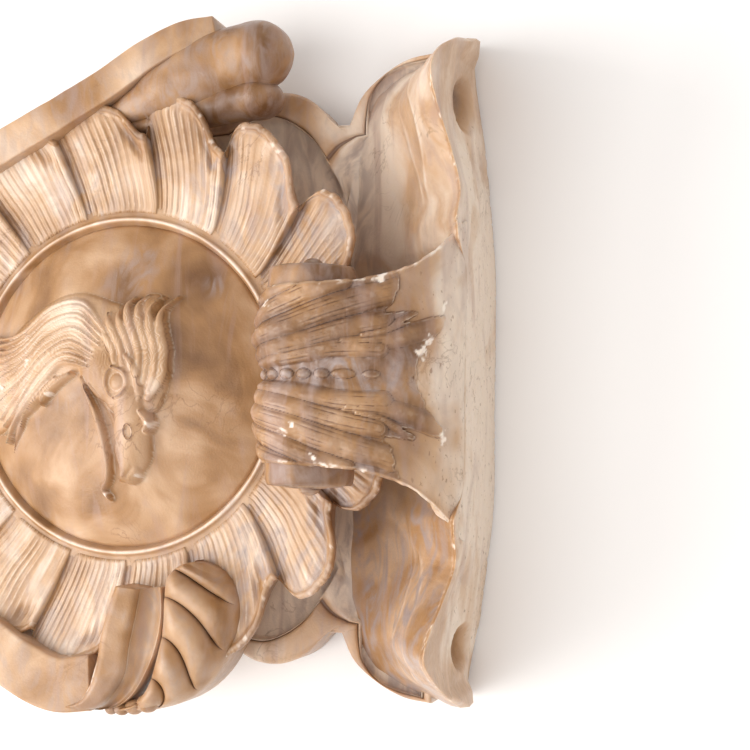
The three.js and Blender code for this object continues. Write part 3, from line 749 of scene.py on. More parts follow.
# The mass under the crest
CREST_MASS = [(7, 21), (-8, 23), (-20, 19.5), (-29, 17), (-36, 21)]
UPPER_LID = [(-7, 6.8), (-4.6, 12.2), (0.4, 14.2), (5.4, 12.2), (7.4, 8)]
LOWER_LID = [(-7, 6.8), (-3.6, 4.2), (1.2, 3.6), (5.6, 5.2), (7.4, 8)]
BEAK = [(6, 14.4), (17, 14.6), (28, 14.6), (36, 13.2), (42, 10.6)]
HOOK = [(34, 15.6), (40, 15), (43, 12), (43.8, 8.6)]
LOWER_BEAK = [(-2, -9.6), (6, -6.2), (14, -2.8), (26, 0.4), (38, 1.6), (44, 0.8), (48.6, -2), (52.4, 0.4)]
GAPE = [(2, -7.4), (9, -2.4), (16, 1.0), (27, 4.0), (38, 5.6), (43, 5.2)]
MOUTH_EDGE = [(1, -5.6), (8, -0.2), (15, 4.2), (26, 7.2), (36, 9.2), (43, 8.6)]


def neck_strands():
    """Long S-shaped neck feathers, side by side."""
    strands = []
    count = 15
    for i in range(count):
        s = i / (count - 1)
        shift = 3.4 * math.sin(i * 2.4)
        strands.append([
            (mix(-24, -7, s), mix(2, -7, s) + shift * 0.5), (mix(-37, -9, s), mix(-12, -20, s)),
            (mix(-35, -1, s), mix(-29, -31, s) + shift * 0.4), (mix(-24, 10, s), mix(-44, -41, s)),
            (mix(-21, 20, s), mix(-58, -48, s) - 0.5 * shift), (mix(-24, 28, s), mix(-70, -54, s))])
    return strands


def carved_eagle(right, up):
    """Height of the eagle's relief over the dome, in mm, and the profile of its locks and feathers."""
    relief = np.zeros(right.shape)
    wobble = grain(grid(right, up), 7, 51, 2)

    def body(cx, cy, rx, ry, tilt, high):
        turn = math.radians(tilt)
        a = (right - cx) * math.cos(turn) + (up - cy) * math.sin(turn)
        b = -(right - cx) * math.sin(turn) + (up - cy) * math.cos(turn)
        inside = 1 - (a / rx) ** 2 - (b / ry) ** 2
        return high * np.sqrt(np.clip(inside, 0, 1))

    # Skull, cheek, and the mass under the neck feathers
    mass = np.maximum(body(-3, 13, 19, 14, -8, 8.5), body(-9, 2, 20, 15, 30, 8.0))
    neck = stroke(right, up, [(-20, 0), (-23, -18), (-13, -36), (0, -50), (8, -66)], 19, 0.9, 0.85)
    mass = np.maximum(mass, 6.8 * np.sqrt(np.clip(neck, 0, 1)))
    crest_mass = stroke(right, up, CREST_MASS, 10.0, 0.8, 0.5)
    mass = np.maximum(mass, 6.2 * np.sqrt(np.clip(crest_mass, 0, 1)))
    relief = np.maximum(relief, mass)
    # Upper beak with its swollen root and hooked tip
    beak = 9.4 * np.clip(stroke(right, up, BEAK, 8.8, 1.0, 0.34), 0, 1) ** 0.5
    hook = 8.2 * np.clip(stroke(right, up, HOOK, 3.6, 1.0, 0.4), 0, 1) ** 0.5
    relief = np.maximum(relief, np.maximum(beak, hook))
    cere = stroke(right, up, [(13, 20.5), (18, 23.6), (22, 22.4)], 2.8, 0.8, 0.7)
    relief = np.maximum(relief, 9.6 * np.clip(cere, 0, 1) ** 0.7)
    # Lower beak, dipping and curling up at its tip
    jaw = stroke(right, up, LOWER_BEAK, 2.3, 0.9, 0.65)
    relief = np.maximum(relief, 5.4 * np.clip(jaw, 0, 1) ** 0.6)
    # The open gape between them, and the bright edge over it
    gape = stroke(right, up, GAPE, 1.5, 0.7, 0.8)
    relief = mix(relief, np.minimum(relief, 0.6), smooth(gape * 1.6))
    relief = relief + 1.0 * np.clip(stroke(right, up, MOUTH_EDGE, 1.3, 0.8, 0.7), 0, 1)
    nostril = 1 - ((right - 22.3) / 3.4) ** 2 - ((up - 14.8) / 2.0) ** 2
    relief = relief + 0.7 * smooth(1.6 * nostril + 0.9) - 2.0 * smooth(nostril * 2)
    # Eye between its lids, under a heavy brow
    gap = np.hypot((right + 0.1) / 1.12, up - 9.3)
    relief = relief - 2.4 * smooth(1 - gap / 6.4)
    ball = np.sqrt(np.clip(1 - (gap / 4.0) ** 2, 0, 1))
    relief = np.where(gap < 4.0, np.maximum(relief, 5.4 + 3.4 * ball), relief)
    upper_lid = stroke(right, up, UPPER_LID, 1.5, 0.6, 0.6)
    lower_lid = stroke(right, up, LOWER_LID, 1.1, 0.6, 0.6)
    relief = relief + 1.6 * np.clip(upper_lid, 0, 1) + 1.0 * np.clip(lower_lid, 0, 1)
    brow = stroke(right, up, [(-12, 13.5), (-6, 17.6), (1, 19.6), (8, 19.2), (11.5, 16)], 3.4, 0.6, 0.5)
    relief = np.maximum(relief, (mass + 2.4) * np.clip(brow, 0, 1) ** 0.5)
    # Locks of the crest, the longest curling at their tips
    strands = np.full(right.shape, -9.0)
    for i, line in enumerate(CREST):
        lock = stroke(right, up, line, 2.9 - 0.1 * i, 0.8, 0.1)
        rounded_lock = 0.55 + 0.45 * np.clip(lock, 0, 1) ** 0.5
        high = np.where(lock > 0, (8.2 + 0.5 * (i % 2)) * rounded_lock * ramp(lock, 0, 0.12), 0)
        relief = np.maximum(relief, high)
        strands = np.maximum(strands, lock)
    # Neck feathers
    for i, line in enumerate(neck_strands()):
        wide = 1.75 + 0.4 * math.sin(i * 1.9)
        lock = stroke(right, up, line, wide, 0.5, 0.25)
        high = np.where(lock > 0, (7.6 + 0.9 * math.sin(i * 2.3)) * np.clip(lock, 0, 1) ** 0.5, 0)
        relief = np.maximum(relief, high * ramp(up, -73, -66))
        strands = np.maximum(strands, lock)
    # Loose tufts before the throat
    for line in ([(-2, -24), (6, -34), (12, -41), (20, -45.5)], [(2, -34), (12, -43), (22, -48), (32, -53)],
                 [(-4, -16), (1, -25), (7, -31), (11, -32)]):
        lock = stroke(right, up, line, 2.8, 0.6, 0.04)
        fading = 0.2 + 0.8 * ramp(right, 34, 6)
        relief = np.maximum(relief, np.where(lock > 0, 6.6 * fading * np.clip(lock, 0, 1) ** 0.6, 0))
    # Fine hair cut over the skull, the crest and the cheek
    flow = up + 0.16 * right + 2.2 * wobble
    comb = np.sin(flow * 2 * math.pi / 1.5)
    skull = ramp(mass, 1.0, 4.0) * ramp(right, 4, -6) * ramp(up, -6, 4)
    relief = relief + 0.22 * comb * skull * (gap > 8.0)
    on_neck = ramp(up, 2, -8) * ramp(neck, 0, 0.2)
    slant = right * 0.8 - up * 0.35 + 2.0 * wobble
    relief = relief + 0.18 * np.sin(slant * 2 * math.pi / 1.3) * on_neck
    # Low relief that melts into the boss at its foot
    relief = 0.78 * relief * (1 - 0.35 * smooth(1 - relief / 3.0))
    return relief, strands


# The boss is cut from a square sheet of this half width, whose rim is hidden under the moulding, and
# its hidden floor lies this far from the disc
BOSS_SHEET = 78
BOSS_FLOOR = -9.0
BOSS_CHIPS = [(19, 24.6, 2.0), (51, -1.2, 1.5), (42, 17, 1.1), (5, -27, 1.6), (-9, -40, 1.8), (2, -56, 1.8)]


def medallion(stone):
    """The domed boss with an eagle's head carved out of it."""
    line = np.linspace(-BOSS_SHEET, BOSS_SHEET, 288)
    right, up = np.broadcast_arrays(line[None, :], line[:, None])
    r = np.hypot(right, up)
    relief, strands = carved_eagle(right, up)
    relief = relief * ramp(r, 71.5, 67.5)
    sheet = grid(right, up)
    cloudy = grain(sheet, 13, 53, 2)
    out = dome(np.minimum(r, 80)) + 0.25 * cloudy + relief - 6.0 * ramp(r, 74.0, 78.4)
    top = on_disc(right, up, out)
    # Sides and back of the block behind the boss
    bottom = on_disc(right, up, BOSS_FLOOR)
    closed = np.concatenate([bottom[:1], top, bottom[-1:]], 0)
    wide = np.concatenate([np.concatenate([bottom[:1, :1], bottom[:, :1], bottom[-1:, :1]], 0), closed,
                           np.concatenate([bottom[:1, -1:], bottom[:, -1:], bottom[-1:, -1:]], 0)], 1)
    plain = smooth(1 - relief / 1.2)
    stain = smooth(grain(sheet, 21, 55, 2) * 0.9 + 0.05)
    high_left = ramp(up - 0.4 * right, 5, 45) * plain
    # Painted highlight: the lower right of the boss is painted a little paler, where the light glances off
    # the dome
    pale = 0.40 + 0.12 * cloudy * plain + 0.08 * ramp(right, 10, 60) * ramp(up, 0, -40) * plain
    # The locks are painted paler along their middles: partly worn stone, partly a painted highlight
    pale = pale - 0.1 * high_left + 0.12 * ramp(strands, 0.3, 0.9)
    grey = 0.35 * stain * plain + 0.35 * high_left * stain
    chip = np.zeros(right.shape)
    ragged = 0.8 * grain(sheet, 1.6, 57, 2)
    for cx, cy, size in BOSS_CHIPS:
        spot = np.hypot(right - cx, up - cy) + ragged
        chip = np.maximum(chip, smooth((size - spot) / 1.2))
    # Crests of the locks are marked as worn ridges and their edges as cuts, so the stone paints them pale and
    # dark: partly wear and old wax, partly painted highlight on the locks and painted shade in the gaps
    # between them
    locks = ramp(relief, 1.5, 3.5)
    near_lock = bump(strands, 0.0, 0.5)
    carve = locks * (0.42 * ramp(strands, 0.5, 1.0) - 0.55 * near_lock)
    pale = pale + 0.16 * ramp(relief, 1.0, 3.0)
    paint = {"pale": pale, "grey": np.clip(grey, 0, 1), "carve": carve, "chip": 0.75 * chip * (relief > 0.4)}
    return skin("medallion", wide, stone, spread(paint, right.shape, (1, 1), (1, 1)), 2, 12)


# Tongue with its leaf and volute

def tongue_half(z):
    return through(z, [(112, TONGUE_HALF), (126, 40), (140, 43.5), (151, 50), (160, 60), (166, 71)])


# The front of the tongue and its roll, as depth and z
FRONT_RUN = [(74, 164.1), (82, 164.85), (91.5, 162.9), (99, 158.6), (110, 147), (117, 134), (121.5, 120),
             (123.6, 106), (121.2, 93.5), (114, 85.6), (104, 83.2), (94, 86.5), (87, 95)]
# How far up the shelf the run starts before the place its leaf is measured from
START_DOWN = 12.5
# The leaf is drawn on a half width of this many mm
LEAF_HALF = 40.0

# Lobes and ribs of one half of the leaf: places as share of the half width and mm down the run from the
# shelf, half width and height in mm, and how much of the width is left at the tip and at the root
LEAF = [
    ([(0.265, 43), (0.28, 52), (0.275, 62), (0.22, 74), (0.16, 86), (0.12, 99)], 4.3, 1.7, 1.0, 0.6),
    ([(0.40, 15.5), (0.375, 24), (0.34, 36), (0.33, 47), (0.34, 58)], 3.6, 1.5, 0.85, 0.7),
    ([(0.535, 28.5), (0.49, 36), (0.43, 43), (0.40, 52)], 2.0, 1.3, 0.9, 0.7),
    ([(0.53, 43), (0.50, 56), (0.43, 68), (0.33, 81), (0.25, 95), (0.20, 106)], 4.8, 1.9, 0.85, 0.75),
    ([(0.80, 39), (0.77, 53), (0.68, 67), (0.56, 80), (0.45, 94), (0.38, 106)], 6.0, 2.2, 0.85, 0.75),
    ([(0.985, 58), (0.92, 70), (0.80, 83), (0.68, 96), (0.60, 106)], 5.0, 2.3, 0.8, 0.75),
    ([(0.985, 80), (0.92, 91), (0.82, 103)], 3.8, 2.3, 0.8, 0.8),
]
# Upper edge of the blade under them, in the same measures
LEAF_EDGE = [(0, 28), (0.08, 27.5), (0.16, 25.5), (0.24, 24), (0.31, 19), (0.40, 14.5), (0.46, 19),
             (0.475, 34), (0.53, 28), (0.58, 34), (0.60, 41), (0.72, 37.5), (0.86, 36.5), (0.97, 36), (1, 37)]
# Beads of the middle valley, as mm down the run, and half length and half width in mm
BEADS = [(47, 3.6, 1.7), (58.5, 5.0, 2.1), (67.5, 3.2, 2.2), (75, 3.0, 2.3), (82.5, 3.0, 2.4), (90, 2.9, 2.6),
         (97, 2.9, 2.6)]
# Bruises, as share of the half width, mm down the run, and size in mm
TONGUE_CHIPS = [(-0.28, 22, 2.4), (-0.20, 25, 2.6), (-0.50, 14, 1.6), (0.44, 14, 1.8), (0.98, 66, 1.9),
                (-0.98, 44, 2.6), (0.55, 78, 1.8), (0.62, 82, 1.5), (-0.8, 92, 1.8), (0.9, 70, 1.5)]


def tongue(stone):
    """The tongue that curls over from the shelf into a roll, with an acanthus leaf on its front."""
    front = along(FRONT_RUN, np.linspace(0, 1, 300))
    length = np.concatenate([[0], np.cumsum(np.hypot(*np.diff(front, axis=0).T))])
    share = np.linspace(-1, 1, 186)[None]
    depth, z = front[:, :1], front[:, 1:]
    half = np.where(z > 100, tongue_half(z), TONGUE_HALF)
    # The side edges sit a little behind the middle of the front, and are worn
    nick = grain(np.concatenate([length[:, None], length[:, None] * 0], 1), (5, 9), 61, 3)[:, None]
    half = half * through(length[:, None] - START_DOWN,
                          [(0, 1), (40, 1), (70, 0.98), (90, 0.95), (106, 0.94), (140, 0.94)])
    x = share * (half - 0.5 * np.clip(nick, 0, 1) * (np.abs(share) > 0.97))
    mm_down = length[:, None] - START_DOWN + 0 * share
    places = grid(x, depth, z)
    sweep = np.abs(share) + 0 * mm_down
    relief = np.zeros(sweep.shape)
    top = np.zeros(sweep.shape)
    veins = np.zeros(sweep.shape)
    for side in (-1.0, 1.0):
        here = np.where(share * side >= 0, sweep, 9.0)
        for line, width, high, tip, root in LEAF:
            bend = 1.2 * side * math.sin(width * 9.0)
            rib = [(a * LEAF_HALF, b) for a, b in line]
            shape = stroke(here * LEAF_HALF, mm_down + bend, rib, width, tip, root)
            # Veins follow each lobe
            from_rib = np.sqrt(np.clip(1 - shape, 0, 1)) * width / 1.9
            vein = smooth(1 - 2.6 * np.abs(from_rib - np.round(from_rib))) * (shape > 0.04) * (shape < 0.995)
            rise = np.where(shape > 0, high * np.clip(shape, 0, 1) ** 0.7, 0)
            veins = np.where(rise > relief, vein, veins)
            relief = np.maximum(relief, rise)
            top = np.maximum(top, shape)
    # The leaf stands on a low blade with a lobed upper edge
    ragged = 0.9 * grain(grid(share * LEAF_HALF, mm_down), (2.6, 2.6), 64, 2)
    blade_edge = through(sweep, LEAF_EDGE) + ragged
    blade = ramp(mm_down, blade_edge - 0.6, blade_edge + 0.8)
    relief = np.where(top > 0.0, relief * blade + 1.0 * blade, 1.0 * blade)
    patchy = np.clip(0.55 + 0.9 * grain(places, (6, 6, 9), 66, 2), 0, 1)
    cuts = veins * blade * ramp(mm_down, 30, 50) * patchy
    relief -= 0.24 * cuts
    # Both sides of the leaf swell at the foot of the roll
    relief += 2.6 * bump(sweep, 0.44, 0.4) * ramp(mm_down, 68, 90)
    # Row of beads in the middle valley
    valley = smooth(1 - sweep * LEAF_HALF / 5.2) * ramp(mm_down, 30, 44)
    relief = relief * (1 - valley) + 0.1 * valley
    for down, long, wide in BEADS:
        bead = 1 - (sweep * LEAF_HALF / wide) ** 2 - ((mm_down - down) / long) ** 2
        relief = np.maximum(relief, 0.85 * wide * np.sqrt(np.clip(bead, 0, 1)))
    # Raised margins down both sides
    margin = ramp(sweep, 0.93, 0.975)
    relief = np.maximum(relief, 0.9 * margin * ramp(mm_down, 10, 30))
    relief += 0.34 * grain(places, (5.0, 5.0, 7.0), 65, 3) * blade + 0.12 * grain(places, 4.0, 68, 2)
    relief *= ramp(mm_down, 6.0, 18.0) * ramp(mm_down, length[-1] - START_DOWN, length[-1] - START_DOWN - 6)
    places = proud(places, relief)
    # Sides and the hidden back, so the tongue is a closed body
    back_depth = np.minimum(60.0, depth)
    places[..., 1] -= 1.2 * smooth((np.abs(share) - 0.965) / 0.035)
    sunk = z - 9.0 * ramp(z, 145, 160)
    hidden_left, hidden_right = (grid(edge * 0.995, back_depth, sunk) for edge in (x[:, :1], x[:, -1:]))
    inner_left, inner_right = (
        grid(edge, mix(depth, back_depth, 0.5), mix(z, sunk, 0.7)) for edge in (x[:, :1], x[:, -1:]))
    closed = np.concatenate([hidden_left, inner_left, places, inner_right, hidden_right, hidden_left], 1)
    worn_pale = 0.12 * ramp(top, 0.4, 0.95) + 0.3 * bump(sweep, 0.985, 0.03)
    upper = ramp(mm_down, 30, 6)
    bare = 1 - blade
    sawn = ramp(mm_down, 32, 10)
    pale = 0.13 + worn_pale + 0.38 * bare + 0.2 * upper + 0.36 * sawn + 0.10 * grain(places, 11, 67, 2)
    chip = np.zeros(pale.shape)
    ragged = 1.3 * grain(places, 1.8, 69, 2)
    for px, down, size in TONGUE_CHIPS:
        spot = np.hypot((share - px) * LEAF_HALF, mm_down - down) + ragged
        chip = np.maximum(chip, smooth((size - spot) / 1.2))
    exposed = np.clip(ramp(sweep, 0.94, 0.98) + ramp(top, 0.8, 1.0) * 0.12, 0, 1)
    nicks = smooth(grain(places, 2.2, 71, 2) * 1.6 - 0.7) * exposed
    chip = np.clip(np.maximum(chip, 0.7 * nicks * ramp(mm_down, 6, 14)), 0, 1)
    between = blade * (1 - ramp(top, 0.0, 0.25))
    grey = 0.2 + 0.5 * bump(sweep, 0.0, 0.3) * ramp(mm_down, 26, 40) + 0.45 * between
    rough = 0.85 * bare * ramp(mm_down, 44, 16) + 0.15 * bare
    paint = {"pale": pale, "grey": np.clip(grey, 0, 1), "rough": rough, "chip": chip, "carve": -0.45 * cuts}
    return skin("tongue", closed, stone, spread(paint, pale.shape, (0, 0), (2, 3)), 2, 16)


def volute_caps(stone):
    """The roll that shows past both sides of the tongue, each end with a spiral and a button."""
    pieces = []
    for side, name in ((-1.0, "volute_cap_left"), (1.0, "volute_cap_right")):
        rings = [(30, 19.0), (TONGUE_HALF - 2, 19.0), (CAP_HALF - 4.5, 18.8), (CAP_HALF - 2.2, 18.4),
                 (CAP_HALF - 0.9, 17.6), (CAP_HALF - 0.2, 16.6)]
        rings += [(CAP_HALF, r) for r in np.linspace(16.0, 0.0, 44)]
        turn = np.linspace(0, 2 * math.pi, 121)[None]
        across, radius = (part[:, None] for part in np.array(rings, float).T)
        # A spiral groove winds in to the button
        phase = (turn * side) / (2 * math.pi)
        coil = (radius - 4.5) / 6.0 + phase
        groove = np.abs(coil - np.round(coil))
        flat = ramp(across, CAP_HALF - 0.6, CAP_HALF)
        sunk = -1.5 * smooth(1 - groove * 5.0) * flat * ramp(radius, 4.2, 5.2) * ramp(radius, 16.8, 15.6)
        button = 2.6 * np.sqrt(np.clip(1 - (radius / 4.4) ** 2, 0, 1)) * flat
        domed = -1.8 * (radius / 17.0) ** 2 * flat + 1.2 * flat
        x = side * (across + sunk + button + domed - 0.6 * flat)
        waver = grain(grid(radius * np.cos(turn), radius * np.sin(turn)), 6, 73, 2)
        # The outline is a little pear-shaped, drawn out towards the back
        stretch = 1 + 0.05 * np.cos(turn - math.radians(200))
        depth = ROLL_DEPTH + radius * np.cos(turn) * stretch
        z = ROLL_HEIGHT + radius * np.sin(turn) * stretch
        places = grid(x + 0.15 * waver, depth, z)
        middle = np.broadcast_to(places[:1].mean(1, keepdims=True), places[:1].shape)
        places = np.concatenate([middle, places])
        pale = 0.16 + 0.12 * waver
        pale = np.concatenate([pale[:1], pale])
        pieces.append(skin(name, places, stone, {"pale": pale, "grey": 0.45}, 2, 10))
    return pieces


# C-scrolls down both sides

LEFT_SPINE = [(-6, 42, -184), (-50, 50, -158), (-86, 56, -112), (-111, 60, -64), (-125, 62, -36),
              (-139, 62, -11), (-153, 62, 11), (-161, 60, 27), (-164, 57, 41)]
RIGHT_SPINE = [(8, 40, -186), (52, 48, -160), (90, 54, -112), (114, 60, -74), (131, 65, -46),
               (138.5, 67, -26), (137, 67.5, -9)]
LEFT_BAND = [(-56, 36, -142), (-82, 39, -110), (-104, 42, -74), (-116, 45, -44), (-124.5, 49, -18),
             (-132, 53, 5), (-138, 53, 24)]
LEFT_ROLL = [(-125, 50, -14), (-130.5, 53, 2), (-137, 54, 16), (-144, 53, 32),
             (-149.6, 51, 47), (-152.6, 50, 59)]
INNER_ROLL = [(-120, 48, 2), (-123.5, 49, 18), (-128.5, 48.5, 37), (-132.6, 47, 52), (-133.2, 46, 59)]


def strap(name, spine, half_start, half_end, section, stone, tint):
    """A flat-faced strap along a curve; section gives across as a share of the half width, and out in mm."""
    s = np.linspace(0, 1, 340)
    middle = along(spine, s)
    across, out = (part[None] for part in np.array(section).T)
    half = mix(half_start, half_end, s)[:, None]
    places = middle[:, None] + sideways(middle)[:, None] * (across * half)[..., None]
    places[..., 1] += out
    waver = grain(places, (8, 8, 8), 81, 2)
    places[..., 1] += 0.25 * waver * (out > -3)
    places = capped(places, (0.0, 0.7, 0.93, 0.985), 1.2)
    places = np.concatenate([places, places[:, :1]], 1)
    pale = tint + 0.1 * grain(places, 20, 85, 2)
    return skin(name, places, stone, {"pale": pale, "grey": 0.4}, 2, 10)


def rounded(corners, radius=1.3, steps=4):
    """Section points of a strap with its corners eased, as across and out."""
    corners = np.array(corners, float)
    # Across is a share of a half width of about this many mm
    scale = np.array([10.0, 1.0])
    points = []
    for i, here in enumerate(corners):
        after = corners[(i + 1) % len(corners)]
        a = corners[i - 1] - here
        b = after - here
        start = here + a * min(radius / np.linalg.norm(a * scale), 0.45)
        cut = b * min(radius / np.linalg.norm(b * scale), 0.45)
        end = here + cut
        for t in np.linspace(0, 1, steps):
            points.append((1 - t) ** 2 * start + 2 * t * (1 - t) * here + t**2 * end)
        for t in np.linspace(0, 1, 6)[1:-1]:
            points.append(mix(end, after - cut, t))
    return points


def left_scroll(stone):
    """Left C-scroll: a flat strap, and a plain roll that grows beside it and ends in a round head."""
    section = rounded([(-1, 2), (1, 2), (1, -34), (-1, -34)])
    pieces = [strap("left_strap", LEFT_SPINE, 9.0, 6.5, section, stone, 0.5)]
    band_face = rounded([(-1, 0.4), (0, -1.4), (1, 0.4), (1, -34), (-1, -34)])
    pieces.append(strap("left_band", LEFT_BAND, 7.0, 11.5, band_face, stone, 0.62))
    roll = tube(LEFT_ROLL, lambda s: mix(5.5, 16.5, smooth(s / 0.62)), lambda s: mix(5, 17, s**0.8), 150, 72)
    # The head is a half ball on the roll's end
    head = []
    ring, before = roll[-1], roll[-4]
    middle = ring.mean(0)
    away = middle - before.mean(0)
    away /= np.linalg.norm(away)
    for k in np.linspace(0.06, 1, 22):
        size = math.sqrt(max(1 - k * k, 0))
        head.append(middle + (ring - middle) * size + away * 17.5 * k)
    start = np.broadcast_to(roll[0].mean(0), roll[:1].shape)
    places = np.concatenate([start, roll, np.stack(head)])
    waver = grain(places, (9, 9, 9), 91, 2)
    places = proud(places, 0.35 * waver, -1.0)
    pale = 0.27 + 0.14 * grain(places, (12, 12, 16), 93, 3)
    pieces.append(skin("left_roll", places, stone, {"pale": pale, "grey": 0.55, "rough": 0.12}, 2, 12))
    inner = tube(INNER_ROLL, lambda s: mix(5.0, 9.5, smooth(s * 1.2)), lambda s: mix(8, 15, s), 100, 56)
    inner = capped(inner, ROUND_END, 12.0)
    pale = 0.27 + 0.12 * grain(inner, 10, 95, 2)
    pieces.append(skin("left_inner_roll", inner, stone, {"pale": pale, "grey": 0.5, "rough": 0.12}, 2, 12))
    return pieces


# Lower and upper edges of the gadrooned whorl, of the channel under it and of the curled end of the strap,
# as x, depth and z
WHORL_LOW = [(81, 66, 41), (82.5, 67, 34.5), (87, 70, 29.5), (96, 71, 27.8), (107, 71, 27.8), (119, 70.5, 26),
             (131, 69.5, 22.6), (140, 68, 18.4), (145.5, 66, 12.5), (148.4, 63, 4.0)]
WHORL_HIGH = [(81, 64, 41), (82.5, 62, 47.5), (87.5, 60, 55), (96, 60, 60), (107, 61, 61), (119, 61, 57),
              (130.5, 60, 50.5), (139, 59, 42.5), (145.2, 58, 32.5), (149, 57, 20)]
CHANNEL_HIGH = [(93, 71.5, 26.2), (106, 72, 27), (119, 72, 24.8), (130, 71, 20.2), (141, 69, 13),
                (147, 67, 5), (149.4, 64, -4)]
CHANNEL_LOW = [(94, 75, 17.2), (105, 76, 15.6), (119, 76, 12.8), (132, 75, 10.6), (141, 73, 4.6),
               (147.4, 70, -3), (150, 66, -14)]
FINGER_LOW = [(92.6, 77, 5.8), (103, 78.5, 3), (115, 79, 0), (123.5, 78, -1.4), (131, 76, -4),
              (139, 73.5, -7.5), (145.5, 70, -14), (148.6, 66, -26)]
TAIL_BEADS = [((145.3, 66, 18.6), 4.2), ((147.4, 64.5, 11.6), 3.5), ((148.8, 63, 5.0), 2.9),
              ((149.4, 61.5, -0.6), 2.4)]
# How many fingers the whorl has along its length
FINGERS = 5.6


def ball(name, centre, radii, stone, tint, detail=40, relief=None):
    angle = np.linspace(0, 2 * math.pi, 2 * detail + 1)[None]
    tilt = np.linspace(-math.pi / 2, math.pi / 2, detail + 1)[:, None]
    places = grid(
        centre[0] + radii[0] * np.cos(tilt) * np.cos(angle),
        centre[1] + radii[1] * np.cos(tilt) * np.sin(angle),
        centre[2] + radii[2] * np.sin(tilt))
    if relief is not None:
        places = proud(places, relief(places), 1.0)
    places[0] = places[0].mean(0)
    places[-1] = places[-1].mean(0)
    places[:, -1] = places[:, 0]
    pale = tint + 0.1 * grain(places, 14, 97, 2)
    return skin(name, places, stone, {"pale": pale, "grey": 0.4}, 2, 8)


def right_scroll(stone):
    """Right C-scroll: a strap that turns back on itself, a channel, and a slanted row of gadroons above."""
    section = rounded([(-1, 2.5), (1, 0.5), (1, -30), (-1, -30)])
    pieces = [strap("right_strap", RIGHT_SPINE, 10.0, 12.6, section, stone, 0.56)]

    def face(low, high, rows, cols, lift, floor):
        """A band between two edges, domed by lift across, that goes back to floor, a depth."""
        s = np.linspace(0, 1, rows)
        a, b = along(low, s)[:, None], along(high, s)[:, None]
        across = np.linspace(0, 1, cols)[None, :, None]
        places = mix(a, b, across)
        places[..., 1] += lift(s[:, None], across[..., 0])
        under = [places[:, -1:] * (1, 0, 1) + (0, floor, 0), places[:, :1] * (1, 0, 1) + (0, floor, 0)]
        return np.concatenate([places] + under + [places[:, :1]], 1)

    def band(name, places, pale, grey=0.3, carve=None, chip=None):
        places = capped(places, (0.0, 0.6, 0.9, 0.98), 0.6)
        waver = grain(places, (8, 8, 8), 99, 2)
        paint = {"pale": pale + 0.09 * waver, "grey": grey + 0.2 * waver}
        if carve is not None:
            paint["carve"] = np.pad(carve, ((4, 4), (0, 3)), "edge")
        if chip is not None:
            ragged = smooth(0.9 + 1.3 * grain(places, 3.2, 103, 2))
            paint["chip"] = np.pad(chip, ((4, 4), (0, 3)), "edge") * ragged
        return skin(name, places, stone, paint, 2, 12)

    # Whorl of gadroons: fingers that sweep down to the left and end in round tips
    def fingers(s, across):
        sweep = s * 1.04 - 0.30 * smooth(across) * (0.5 + 0.5 * s) - 0.03
        phase = np.clip(sweep, 0, 1) ** 0.92 * FINGERS
        part = phase - np.floor(phase)
        ridge = np.sqrt(np.clip(1 - (2 * part - 1) ** 2, 0, 1))
        tips = np.sqrt(np.clip(1 - ((0.26 - across) / 0.26) ** 2, 0, 1)) * (across < 0.26) + (across >= 0.26)
        fade = ramp(across, 1.0, 0.72) * ramp(sweep, 0.02, 0.08)
        return ridge, tips, fade

    def whorl(s, across):
        ridge, tips, fade = fingers(s, across)
        swell = 0.35 + 0.65 * np.sin(math.pi * np.clip(s * 0.8 + 0.12, 0, 1))
        dome_up = 9.5 * np.sqrt(np.clip(1 - (2 * across - 1) ** 2, 0, 1)) ** 0.55 * swell
        body = dome_up * mix(1, 0.35 + 0.65 * tips * ridge, fade * 0.75)
        return body + 2.8 * ridge * fade * np.minimum(tips, 1)

    grid_s, grid_t = np.linspace(0, 1, 440)[:, None], np.linspace(0, 1, 104)[None]
    ridge, tips, fade = fingers(grid_s, grid_t)
    pieces.append(band("gadroon_whorl", face(WHORL_LOW, WHORL_HIGH, 440, 104, whorl, 38), 0.34, 0.25,
                       1.2 * fade * (ridge - 0.75)))

    def hollow(s, across):
        return -4.2 * np.sin(math.pi * np.clip(across * 1.12, 0, 1)) ** 0.8 + 1.0 * bump(across, 0.94, 0.06)

    def swollen(s, across):
        return 2.6 * np.clip(1 - (2 * across - 1) ** 6, 0, 1) - 0.8 * ramp(across, 0.3, 0.0)

    pieces.append(band("right_channel", face(CHANNEL_LOW, CHANNEL_HIGH, 240, 60, hollow, 40), 0.5, 0.5))
    bruised = bump(np.linspace(0, 1, 260)[:, None], 0.66, 0.24)
    bruised = bruised * ramp(np.linspace(0, 1, 60)[None], 0.13, 0.03)
    pieces.append(band("right_finger", face(FINGER_LOW, CHANNEL_LOW, 260, 60, swollen, 42), 0.34, 0.3,
                       chip=bruised))
    for i, (centre, radius) in enumerate(TAIL_BEADS):
        pieces.append(ball(f"tail_bead_{i + 1}", centre, (radius, radius, radius * 1.25), stone, 0.28, 16))
    return pieces


def foot(stone):
    """Foot of the cartouche, where both straps meet over a fluted bud, below the photograph's edge."""
    def waist(places):
        return 0.5 * grain(places, 16, 111, 2)

    def flutes(places):
        turn = np.arctan2(places[..., 0], places[..., 1] - 36)
        return 0.9 * (np.abs(np.cos(4 * turn)) ** 0.7 - 0.5) * ramp(np.abs(places[..., 2] + 192), 21, 6)

    return [
        ball("foot_body", (0, 22, -150), (61, 29, 51), stone, 0.5, 70, waist),
        ball("foot_bud", (0, 36, -192), (16.2, 19.2, 20.5), stone, 0.45, 60, flutes),
    ]


# Settings and operators

